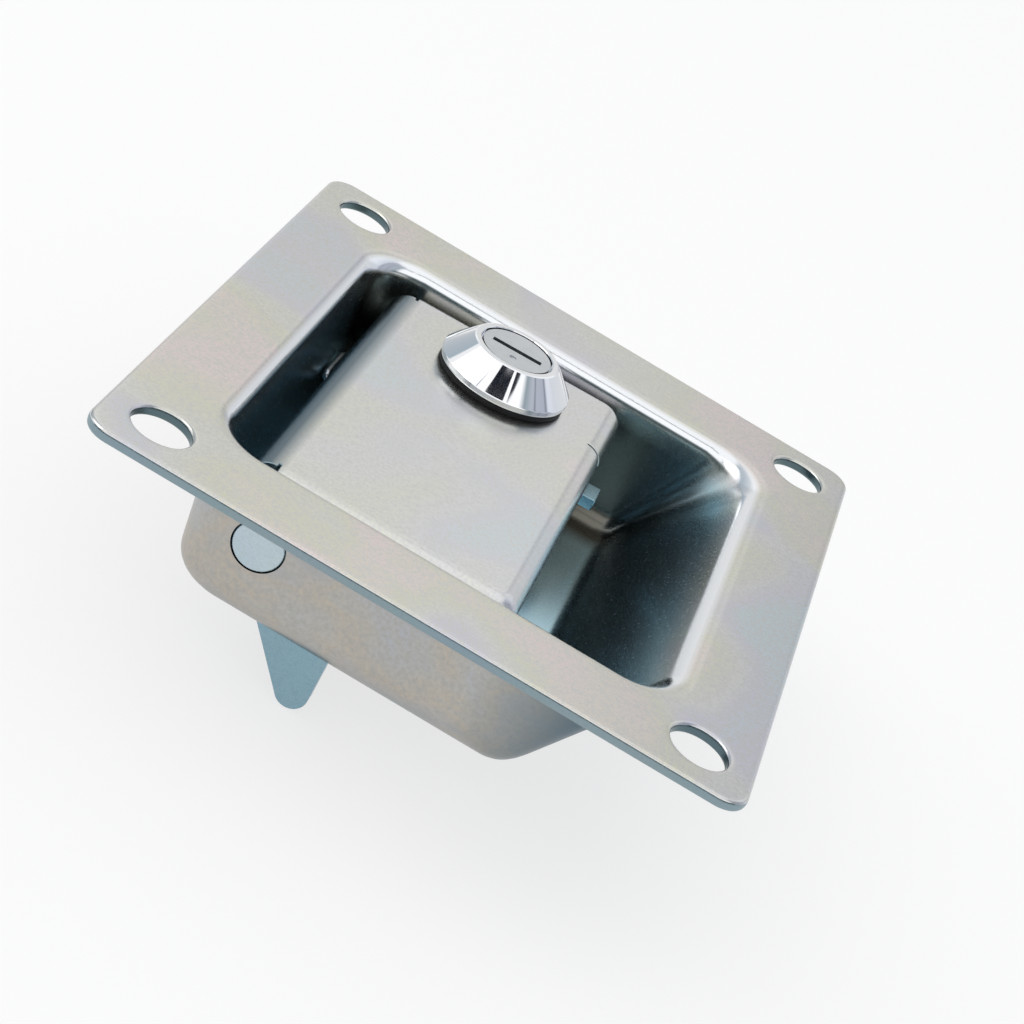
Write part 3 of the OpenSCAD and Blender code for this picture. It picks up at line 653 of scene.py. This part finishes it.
def wall_inset(z, rim, foot, lean, face, floor):
    """How far a wall stands in from the opening at height z."""
    slope = (face - floor - (rim + foot) * (1 - math.sin(lean))) / math.cos(lean)
    foot_middle = (rim + foot) * math.cos(lean) + slope * math.sin(lean)
    rim_end = face - rim * (1 - math.sin(lean))
    foot_start = floor + foot * (1 - math.sin(lean))
    if z >= rim_end:
        return math.sqrt(max(0.0, rim * rim - (z - face + rim) ** 2))
    if z >= foot_start:
        return rim * math.cos(lean) + (rim_end - z) * math.tan(lean)
    return foot_middle - math.sqrt(max(0.0, foot * foot - (floor + foot - z) ** 2))


def corner_arcs(corners, z, steps):
    """A ring at height z through corners, each as (x, y, radius, first angle)."""
    return [
        (*point, z)
        for x, y, r, start in corners
        for point in arc((x, y), r, start, start + 90, steps)
    ]


def dish_outline(sizes, z, floor):
    """Outline of the inside of the dish at height z."""
    side = wall_inset(z, sizes.rim, sizes.foot, sizes.side_draft, sizes.face, floor)
    front = sizes.opening_x / 2 - wall_inset(
        z, sizes.scoop_rim, sizes.scoop_foot, sizes.scoop_lean, sizes.face, floor)
    back = -sizes.opening_x / 2 + wall_inset(
        z, sizes.rim, sizes.foot, sizes.end_draft, sizes.face, floor)
    half = sizes.opening_y / 2 - side
    down = (sizes.face - z) / (sizes.face - floor)
    pivot_r = sizes.opening_corner + (sizes.pivot_corner - sizes.opening_corner) * down
    scoop_r = sizes.opening_corner + (sizes.scoop_corner - sizes.opening_corner) * down
    return corner_arcs([
        (front - scoop_r, half - scoop_r, scoop_r, 0),
        (back + pivot_r, half - pivot_r, pivot_r, 90),
        (back + pivot_r, pivot_r - half, pivot_r, 180),
        (front - scoop_r, scoop_r - half, scoop_r, 270),
    ], z, steps=12)


def flange_outline(sizes, inset):
    """Outline of the flange, moved in by inset."""
    x, y, r = sizes.width / 2 - inset, sizes.length / 2 - inset, sizes.corner - inset
    return corner_arcs([
        (x - r, y - r, r, 0), (r - x, y - r, r, 90),
        (r - x, r - y, r, 180), (x - r, r - y, r, 270),
    ], sizes.face, steps=8)


def border(bm, edge, inner):
    """A narrow strip of faces along an edge of the flange; returns the strip's inner ring."""
    ring = closed_loop(bm, inner)
    bmesh.ops.bridge_loops(bm, edges=closed_loop(bm, edge) + ring)
    return ring


def dish_shell(sizes):
    """The upper skin of the flange and dish."""
    bm = bmesh.new()
    floor = sizes.sheet - sizes.bottom
    face = sizes.face
    opening = closed_loop(bm, dish_outline(sizes, face, floor))
    strip = 2 * sizes.edge
    flange = opening + border(bm, flange_outline(sizes, 0), flange_outline(sizes, strip))
    for sx in (-1, 1):
        for sy in (-1, 1):
            centre = (sx * BOLTS["spacing_x_mm"] / 2, sy * BOLTS["spacing_y_mm"] / 2)
            hole, ring = (
                [(*point, face) for point in arc(centre, r, 0, 360, 48)[:-1]]
                for r in (BOLTS["hole_r_mm"], BOLTS["hole_r_mm"] + strip)
            )
            flange += border(bm, hole, ring)
    bmesh.ops.triangle_fill(
        bm, use_beauty=True, use_dissolve=False, edges=flange, normal=(0, 0, 1))
    rim_steps = [
        face - sizes.scoop_rim * (1 - math.cos(math.radians(a))) for a in range(10, 91, 8)]
    foot_steps = [floor + sizes.foot * (1 - math.sin(math.radians(a))) for a in range(0, 91, 9)]
    walls = [rim_steps[-1] + (foot_steps[0] - rim_steps[-1]) * k / 5 for k in range(1, 5)]
    ring = opening
    for z in rim_steps + walls + foot_steps:
        lower = closed_loop(bm, dish_outline(sizes, z, floor))
        bmesh.ops.bridge_loops(bm, edges=ring + lower)
        ring = lower
    bmesh.ops.contextual_create(bm, geom=ring)
    close_skin(bm, 0.001)
    return bm


class HOOKLOCK_OT_dish(bpy.types.Operator):
    """Press the flange and dish from one sheet, with its bolt holes, pin holes and hook slot"""

    bl_idname = "hook_lock.dish"
    bl_label = "Dish"

    def execute(self, context):
        sizes = context.scene.hook_lock.dish
        dish = piece(dish_shell(sizes), "dish", PLAIN)
        coats = ("dish_zinc", "dish_outside", "cut_edge", "hole_edge_shade")
        thickened(dish, sizes.sheet, *coats)
        rounded_edges(dish, sizes.edge, angle=50, segments=4, clamp=False)
        # The rolled-over upper edge shines as the face does, and the holes get a darker painted shade
        face_coat, edge_coat, hole_shade_coat = 0, 2, 3
        inner_x, inner_y = sizes.width / 2 - 2, sizes.length / 2 - 2
        for polygon in dish.data.polygons:
            if polygon.material_index != edge_coat:
                continue
            if polygon.normal.z > 0.3:
                polygon.material_index = face_coat
            elif abs(polygon.center.x) < inner_x * MM and abs(polygon.center.y) < inner_y * MM:
                polygon.material_index = hole_shade_coat
        pin_low, pin_high = (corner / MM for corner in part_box("pivot_pin"))
        blade_low, blade_high = (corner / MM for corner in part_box("hook_blade"))
        rivets_low, rivets_high = (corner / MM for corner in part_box("keeper_rivets"))
        pivot = PIVOT / MM
        bm = bmesh.new()
        pin_hole = (pin_high.x - pin_low.x) / 2 + sizes.pin_gap
        rod(bm, (pivot.x, 0, pivot.z), (0, 1, 0), pin_hole, pin_high.y * 2 + 20, 64)
        block(
            bm,
            (pivot.x + sizes.slot_end_gap, blade_low.y - sizes.slot_gap, -sizes.bottom - 1),
            (blade_high.x + sizes.slot_end_gap, blade_high.y + sizes.slot_gap,
             sizes.sheet + sizes.foot - sizes.bottom - 1),
        )
        rivets_y = (rivets_low.y + rivets_high.y) / 2
        for x in (rivets_low.x + sizes.rivet_head, rivets_high.x - sizes.rivet_head):
            rod(bm, (x, rivets_y, -sizes.bottom), (0, 0, 1), sizes.rivet_hole, 10, 32)
        cut(dish, edge_cutter(bm, "dish_cutter", PLAIN, *coats))
        dressed(dish, "dish", "dish_zinc", "dish_plate")
        return {"FINISHED"}


# Paddle

BEND_STEPS = 8


def bend_down(bm, points, centre, axis, turn):
    """Bends the sheet down from an edge of the flat; returns the last edges and vertices."""
    verts, edges = open_chain(bm, points)
    return bmesh.ops.spin(
        bm, geom=verts + edges, cent=centre, axis=axis, angle=turn, steps=BEND_STEPS,
        use_merge=False, use_duplicate=False,
    )["geom_last"]


def drop(bm, geom, depth):
    """Extends the sheet straight down from the edges in geom."""
    edges = [g for g in geom if isinstance(g, bmesh.types.BMEdge)]
    new = bmesh.ops.extrude_edge_only(bm, edges=edges)["geom"]
    verts = [g for g in new if isinstance(g, bmesh.types.BMVert)]
    bmesh.ops.translate(bm, verts=verts, vec=(0, 0, -depth))


def cheek_points(sizes):
    """Side outline of a cheek in X and height: back edge, round the pivot, along to the front."""
    bend_z = sizes.top - sizes.bend
    back = -sizes.back + sizes.back_bend + sizes.relief
    r1, r2 = sizes.cheek, sizes.nose
    nose = Vector((sizes.front - r2 - sizes.nose_gap, sizes.top - sizes.nose_drop))
    lean = math.degrees(math.atan2(nose.y, nose.x) - math.acos((r1 - r2) / nose.length))
    back_turn = math.degrees(math.acos(back / r1))
    points = [Vector((back, bend_z))]
    points += arc((0, 0), r1, back_turn, 360 + lean, 40)
    points += arc(nose, r2, lean, 0, 10)
    points += [Vector((nose.x + r2, bend_z))]
    return [p for i, p in enumerate(points) if i == 0 or (p - points[i - 1]).length > 0.01]


def drawn_corner(bm, sizes, centre, turn):
    """Sweeps the section of a bend round a corner of the paddle."""
    middle = (sizes.front - sizes.bend, sizes.top - sizes.bend)
    bend_down(
        bm, [(x, centre[1], z) for x, z in arc(middle, sizes.bend, 90, 0, BEND_STEPS)],
        (*centre, 0), (0, 0, 1), turn)


def paddle_shell(sizes):
    bm = bmesh.new()
    half = sizes.width / 2 - sizes.bend
    front = sizes.front - sizes.bend
    back = sizes.back_bend - sizes.back
    far_r = sizes.corner - sizes.bend
    near_r = sizes.near_corner - sizes.bend
    bend_z = sizes.top - sizes.bend
    side_back = back + sizes.relief
    slit_far = CYLINDER.y / MM - sizes.slit_place
    slit_near = slit_far - sizes.slit
    top = sizes.top
    far_centre = (front - far_r, half - far_r)
    near_centre = (front - near_r, near_r - half)
    flat = [
        *arc(near_centre, near_r, -90, 0, BEND_STEPS), (front, slit_near), (front, slit_far),
        *arc(far_centre, far_r, 0, 90, BEND_STEPS), (side_back, half),
        (side_back, half - sizes.relief), (back, half - sizes.relief),
        (back, -half + sizes.relief), (side_back, -half + sizes.relief), (side_back, -half),
    ]
    bmesh.ops.contextual_create(bm, geom=closed_loop(bm, [(x, y, top) for x, y in flat]))
    quarter = math.pi / 2
    # Finger flange, in two lengths either side of the slit
    grip, _ = (
        bend_down(bm, [(front, y, top) for y in ends], (front, 0, bend_z), (0, 1, 0), quarter)
        for ends in ((near_centre[1], slit_near), (slit_far, far_centre[1]))
    )
    drop(bm, grip, sizes.grip - sizes.bend)
    # Pivot end flange, short enough to swing clear of the dish's corners
    wide = sizes.width / 2 - sizes.corner_room
    end = bend_down(
        bm, [(back, y, top) for y in (-wide, sizes.relief - half, half - sizes.relief, wide)],
        (back, 0, top - sizes.back_bend), (0, 1, 0), -quarter)
    drop(bm, end, sizes.back_flange - sizes.back_bend)
    drawn_corner(bm, sizes, far_centre, quarter)
    drawn_corner(bm, sizes, near_centre, -quarter)
    # Side bends and cheeks
    for side, end_x in ((-1, near_centre[0]), (1, far_centre[0])):
        bend_down(
            bm, [(side_back, side * half, top), (end_x, side * half, top)],
            (0, side * half, bend_z), (1, 0, 0), -side * quarter)
        outline = [(p.x, side * sizes.width / 2, p.y) for p in cheek_points(sizes)]
        if end_x > outline[-1][0] + 0.01:
            outline.append((end_x, side * sizes.width / 2, bend_z))
        bmesh.ops.contextual_create(bm, geom=closed_loop(bm, outline))
    close_skin(bm, 0.005)
    return bm


def barrel_prism(bm, sizes, centre, low, high):
    """The barrel with its two flats and the gap round them, as a solid."""
    radius = sizes.barrel_r + sizes.gap
    edge = math.degrees(math.acos((sizes.flats / 2 + sizes.gap) / radius))
    points = arc((0, 0), radius, edge, 180 - edge, 32)
    points += arc((0, 0), radius, 180 + edge, 360 - edge, 32)
    ring = closed_loop(bm, [(centre[0] + p.x, centre[1] + p.y, low) for p in points])
    face = bmesh.ops.contextual_create(bm, geom=ring)["faces"]
    grown = bmesh.ops.extrude_face_region(bm, geom=face)["geom"]
    verts = [g for g in grown if isinstance(g, bmesh.types.BMVert)]
    bmesh.ops.translate(bm, verts=verts, vec=(0, 0, high - low))
    bmesh.ops.recalc_face_normals(bm, faces=bm.faces)


class HOOKLOCK_OT_paddle(bpy.types.Operator):
    """Fold the paddle with its bends, reliefs, drawn corners and pivot cheeks"""

    bl_idname = "hook_lock.paddle"
    bl_label = "Paddle"

    def execute(self, context):
        sizes = context.scene.hook_lock.paddle
        cylinder = context.scene.hook_lock.cylinder
        paddle = piece(paddle_shell(sizes), "paddle_sheet", LEVER)
        coats = ("paddle_zinc", "paddle_zinc", "cut_edge")
        thickened(paddle, sizes.sheet, *coats)
        rounded_edges(paddle, sizes.edge, angle=50, segments=3, clamp=False)
        bm = bmesh.new()
        barrel_prism(
            bm, cylinder, LEVER.inverted() @ CYLINDER, sizes.top - 4, sizes.top + 2)
        rod(bm, (0, 0, 0), (0, 1, 0), sizes.pin_hole, sizes.width + 10, 64)
        cut(paddle, edge_cutter(bm, "paddle_cutter", LEVER, *coats))
        dressed(paddle, "lever", "paddle_zinc", "paddle")
        return {"FINISHED"}


# Key cylinder


class HOOKLOCK_OT_bezel(bpy.types.Operator):
    """Turn the chrome bezel with its threaded barrel and the rubber seal under it"""

    bl_idname = "hook_lock.bezel"
    bl_label = "Bezel and seal"

    def execute(self, context):
        sizes = context.scene.hook_lock.cylinder
        seal, barrel_r, foot_r, face_r = sizes.seal, sizes.barrel_r, sizes.foot_r, sizes.face_r
        top, skirt, end = seal + sizes.height, seal + sizes.skirt, -sizes.barrel_len
        recess = top - sizes.recess
        bore = sizes.plug_r + sizes.gap
        face_bore = sizes.plug_face_r + sizes.face_gap
        thread = []
        root, half = barrel_r - sizes.thread, sizes.pitch / 2
        z = -1.6
        while z - sizes.pitch > end + 0.6:
            thread += [(barrel_r, z), (barrel_r, z - 0.15),
                       (root, z - half - 0.05), (root, z - half - 0.1)]
            z -= sizes.pitch
        profile = [
            (bore, end), (bore, recess), (face_bore, recess),
            (face_bore, top - 0.15), (face_bore + 0.15, top), (face_r - 0.25, top),
            (face_r + 0.1, top - 0.14), (foot_r - 0.1, skirt + 0.12), (foot_r, skirt - 0.1),
            (foot_r, seal + 0.4), (foot_r - 0.12, seal + 0.12), (foot_r - 0.4, seal),
            (barrel_r, seal), *thread, (barrel_r, z), (barrel_r, end + 0.5), (barrel_r - 0.5, end),
        ]
        bm = bmesh.new()
        turned(bm, profile, sizes.segments)
        bezel = piece(bm, "bezel", LOCK)
        bm = bmesh.new()
        for side in (-1, 1):
            near, far = side * sizes.flats / 2, side * (barrel_r + 2)
            block(bm, (min(near, far), -12, end - 1), (max(near, far), 12, seal - 0.01))
        # Two crossed grooves in the bore, for the ends of the wafers
        low = (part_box("wafer_4")[0].z - CYLINDER.z) / MM - 0.4
        high = (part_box("wafer_1")[1].z - CYLINDER.z) / MM + 0.3
        reach, wide = sizes.plug_r + sizes.groove, sizes.wafer_w / 2
        block(bm, (-reach, -wide, low), (reach, wide, high))
        cut(bezel, piece(bm, "flats_cutter", LOCK))
        bm = bmesh.new()
        block(bm, (-wide, -reach, low), (wide, reach, high))
        cut(bezel, piece(bm, "groove_cutter", LOCK))
        dressed(bezel, "lever", "bezel_chrome", "lock_housing", sharp=20)

        bm = bmesh.new()
        inner, outer = barrel_r + 0.04, foot_r - 0.5
        turned(bm, [
            (inner, 0), (outer, 0), *arc((foot_r - 0.85, seal / 2), 0.65, -60, 60, 8),
            (outer, seal), (inner, seal),
        ], sizes.segments)
        dressed(piece(bm, "seal_ring", LOCK), "lever", "seal_rubber", "bezel_seal")
        return {"FINISHED"}


class HOOKLOCK_OT_plug(bpy.types.Operator):
    """Finish the key plug, its wafers and its springs"""

    bl_idname = "hook_lock.plug"
    bl_label = "Key plug"

    def execute(self, context):
        refined("key_plug", "plug", "plug_satin", 0.12)
        repainted("wafer_springs", "spring_wire")
        for i in range(1, 5):
            repainted(f"wafer_{i}", "wafer_brass")
        return {"FINISHED"}


class HOOKLOCK_OT_cam_parts(bpy.types.Operator):
    """Finish the nut, washer, cam, stop, screw and the keeper on the floor"""

    bl_idname = "hook_lock.cam_parts"
    bl_label = "Cam and keeper"

    def execute(self, context):
        for node, body, edge in (
            ("nut_washer", "lever", 0.12), ("clamping_nut", "lever", 0.2),
            ("turn_stop", "plug", 0.1), ("cam", "plug", 0.25), ("cam_washer", "plug", 0.12),
            ("cam_screw", "plug", 0.15), ("cam_keeper", "dish", 0.25),
            ("keeper_rivets", "dish", 0.25),
        ):
            # The cam takes the hook blade's darker blue as painted shade
            refined(node, body, "fitting_zinc", edge, "blade_zinc" if node == "cam" else None)
        return {"FINISHED"}


# Pivot, hook and spring


class HOOKLOCK_OT_pivot(bpy.types.Operator):
    """Finish the pin, its washers and clips, and the hook with its rivets"""

    bl_idname = "hook_lock.pivot"
    bl_label = "Pivot and hook"

    def execute(self, context):
        for node, edge in (
            ("pivot_pin", 0.15), ("near_thrust_washer", 0.1), ("far_thrust_washer", 0.1),
            ("near_clip", 0.15), ("far_clip", 0.15), ("hook_blade", 0.25), ("hook_rivets", 0.15),
        ):
            coat = "blade_zinc" if node == "hook_blade" else None
            refined(node, "lever", "fitting_zinc", edge, coat)
        return {"FINISHED"}


class HOOKLOCK_OT_spring(bpy.types.Operator):
    """Give the return spring its wire finish"""

    bl_idname = "hook_lock.spring"
    bl_label = "Return spring"

    def execute(self, context):
        repainted("return_spring", "spring_wire")
        return {"FINISHED"}


# Stage


def camera_at(place, elevation, roll, lens):
    """A camera that looks along +Y and down, rolled about its own view."""
    e, r = math.radians(elevation), math.radians(roll)
    level, up = Vector((1, 0, 0)), Vector((0, math.sin(e), math.cos(e)))
    right = level * math.cos(r) + up * math.sin(r)
    over = up * math.cos(r) - level * math.sin(r)
    back = right.cross(over)
    data = bpy.data.cameras.new("camera")
    data.lens = lens
    data.sensor_width = 36
    data.clip_start = 0.01
    camera = bpy.data.objects.new("camera", data)
    camera.matrix_world = Matrix.Translation(Vector(place) * MM) @ Matrix(
        (right, over, back)).transposed().to_4x4()
    bpy.context.scene.collection.objects.link(camera)
    bpy.context.scene.camera = camera


def softbox(name, place, width, power):
    """A square lamp that faces the origin."""
    data = bpy.data.lights.new(name, "AREA")
    data.size = width
    data.energy = power
    light = bpy.data.objects.new(name, data)
    light.rotation_mode = "QUATERNION"
    light.rotation_quaternion = (-Vector(place)).to_track_quat("-Z", "Y")
    light.location = place
    bpy.context.scene.collection.objects.link(light)


# What the metal reflects at each compass direction, as (degrees from +X, red, green, blue)
SURROUNDINGS = (
    (-180, 1.00, 1.00, 1.00), (-135, 1.00, 1.00, 1.00), (-134, 0.02, 0.03, 0.04),
    (-131.5, 0.02, 0.03, 0.04), (-131, 1.0, 1.0, 1.0), (-30, 1.0, 1.0, 1.0),
    (-20, 0.30, 0.36, 0.40), (-8, 0.50, 0.54, 0.60), (-2, 0.52, 0.55, 0.62),
    (0, 0.22, 0.25, 0.29), (3, 0.50, 0.53, 0.60),
    (17, 0.48, 0.50, 0.58), (20, 0.24, 0.27, 0.32), (24, 0.76, 0.79, 0.86),
    (60, 0.84, 0.86, 0.88), (74, 0.84, 0.85, 0.86), (79, 0.60, 0.61, 0.64), (82, 0.62, 0.63, 0.65),
    (87, 0.86, 0.86, 0.86), (92, 0.88, 0.88, 0.87),
    (98, 0.78, 0.78, 0.755), (104, 0.95, 0.95, 0.94), (115, 0.95, 0.95, 0.94),
    (128, 0.62, 0.65, 0.68), (161, 0.42, 0.50, 0.56),
    (163, 1.00, 1.00, 1.00), (180, 1.00, 1.00, 1.00),
)
# Dark cards high over the near side, that the bezel shows
CARDS = (
    (-180, 1.00, 1.00, 1.00), (-112.5, 1.00, 1.00, 1.00), (-111.5, 0.01, 0.012, 0.018),
    (-65.5, 0.01, 0.012, 0.018), (-65, 1.1, 1.1, 1.1), (-57, 1.1, 1.1, 1.1),
    (-56.5, 0.01, 0.012, 0.018), (-44, 0.01, 0.012, 0.018), (-43, 0.42, 0.48, 0.54),
    (-32, 0.52, 0.57, 0.64), (-20, 0.30, 0.36, 0.40), (-19, 1.0, 1.0, 1.0), (180, 1.0, 1.0, 1.0),
)


def around(tree, compass, table):
    """The colours of a table laid round the compass."""
    return ramp(
        tree, fade(tree, compass, -math.pi, math.pi),
        [((angle + 180) / 360, shade) for angle, *shade in table])


def studio_world():
    """Soft light from above, pale walls, dark cards, and a dark strip low behind the camera."""
    world = bpy.data.worlds.new("studio")
    bpy.context.scene.world = world
    world.use_nodes = True
    tree = world.node_tree
    tree.nodes.clear()
    output = tree.nodes.new("ShaderNodeOutputWorld")
    background = tree.nodes.new("ShaderNodeBackground")
    direction = tree.nodes.new("ShaderNodeTexCoord").outputs["Generated"]
    x, y, z = axes(tree, direction)
    compass = calc(tree, "ARCTAN2", y, x)
    walls = around(tree, compass, SURROUNDINGS)
    # The far side is a little darker below 24 degrees and brighter above 30
    brighter = mixed(tree, fade(tree, z, 0.40, 0.50), grey(0.93), grey(1.18))
    walls = mixed(tree, fade(tree, y, 0.3, 0.6), walls, brighter, "MULTIPLY")
    # The cards hang from 57 to 62 degrees above the horizon
    card = times(tree, fade(tree, z, 0.842, 0.845), fade(tree, z, 0.880, 0.877))
    card = times(tree, card, calc(tree, "LESS_THAN", y, -0.15))
    walls = mixed(tree, card, walls, around(tree, compass, CARDS))
    near_side = fade(tree, y, -0.15, -0.35)
    walls = mixed(tree, near_side, walls, grey(1.2), "MULTIPLY")
    behind = times(tree, fade(tree, z, 0.48, 0.34), near_side)
    walls = mixed(tree, behind, walls, (0.05, 0.085, 0.095, 1))
    walls = mixed(tree, fade(tree, z, 0.895, 0.915), walls, grey(1.12))
    tree.links.new(walls, background.inputs["Color"])
    tree.links.new(background.outputs["Background"], output.inputs["Surface"])


def pale_floor(finish):
    """White to the eye and to polished metal, with the soft shadow of the lock kept on it."""
    tree, shader, _ = new_material("pale_floor")
    shader.inputs["Roughness"].default_value = 0.9
    shader.inputs["Base Color"].default_value = (*finish.floor, 1)
    output = next(node for node in tree.nodes if node.type == "OUTPUT_MATERIAL")
    path = tree.nodes.new("ShaderNodeLightPath").outputs
    seen = calc(tree, "MAXIMUM", path["Is Camera Ray"], path["Is Glossy Ray"])
    seen = calc(tree, "MAXIMUM", seen, path["Is Transmission Ray"])
    glow = tree.nodes.new("ShaderNodeEmission")
    both = tree.nodes.new("ShaderNodeMixShader")
    tree.links.new(times(tree, seen, 0.72), both.inputs["Fac"])
    tree.links.new(shader.outputs["BSDF"], both.inputs[1])
    tree.links.new(glow.outputs["Emission"], both.inputs[2])
    tree.links.new(both.outputs["Shader"], output.inputs["Surface"])


class HOOKLOCK_OT_stage(bpy.types.Operator):
    """Set the camera at the photograph's angle over a plain pale floor in soft light"""

    bl_idname = "hook_lock.stage"
    bl_label = "Stage"

    def execute(self, context):
        sizes = context.scene.hook_lock
        # Solved from the corners of the flange in the photograph
        camera_at((5.129, -435.037, 213.504 + sizes.dish.face), 27.294, 30.758, 91.88)
        floor_z = cad_box[0][2] - 0.001
        bm = bmesh.new()
        bmesh.ops.create_grid(bm, x_segments=1, y_segments=1, size=3)
        bm.transform(Matrix.Translation((0, 0, floor_z)))
        mesh = bpy.data.meshes.new("floor")
        bm.to_mesh(mesh)
        bm.free()
        floor = bpy.data.objects.new("floor", mesh)
        context.scene.collection.objects.link(floor)
        pale_floor(sizes.finish)
        mesh.materials.append(FINISHES["pale_floor"])
        softbox("key_light", (-0.9, -0.2, 0.9), width=0.9, power=2.5)
        studio_world()
        context.scene.view_settings.view_transform = "Standard"
        return {"FINISHED"}


class HOOKLOCK_PT_panel(bpy.types.Panel):
    """Lists the steps that build the lock"""

    bl_idname = "HOOKLOCK_PT_panel"
    bl_label = "Hook Lock"
    bl_space_type = "VIEW_3D"
    bl_region_type = "UI"
    bl_category = "Hook Lock"

    def draw(self, context):
        for step in STEPS:
            self.layout.operator(step.bl_idname)
        lock = context.scene.hook_lock
        for group in (lock.dish, lock.paddle, lock.cylinder, lock.finish):
            box = self.layout.box()
            for key in group.bl_rna.properties.keys():
                if key not in ("rna_type", "name"):
                    box.prop(group, key)


STEPS = (
    HOOKLOCK_OT_dish,
    HOOKLOCK_OT_paddle,
    HOOKLOCK_OT_bezel,
    HOOKLOCK_OT_plug,
    HOOKLOCK_OT_cam_parts,
    HOOKLOCK_OT_pivot,
    HOOKLOCK_OT_spring,
    HOOKLOCK_OT_stage,
)
CLASSES = (
    DishSizes, PaddleSizes, CylinderSizes, Finishes, HookLock, *STEPS, HOOKLOCK_PT_panel,
)


def register():
    for cls in CLASSES:
        bpy.utils.register_class(cls)
    bpy.types.Scene.hook_lock = PointerProperty(type=HookLock)


def unregister():
    del bpy.types.Scene.hook_lock
    for cls in reversed(CLASSES):
        bpy.utils.unregister_class(cls)


def main():
    register()
    make_finishes(bpy.context.scene.hook_lock.finish)
    for step in STEPS:
        group, name = step.bl_idname.split(".")
        getattr(getattr(bpy.ops, group), name)()


if __name__ == "__main__":
    main()
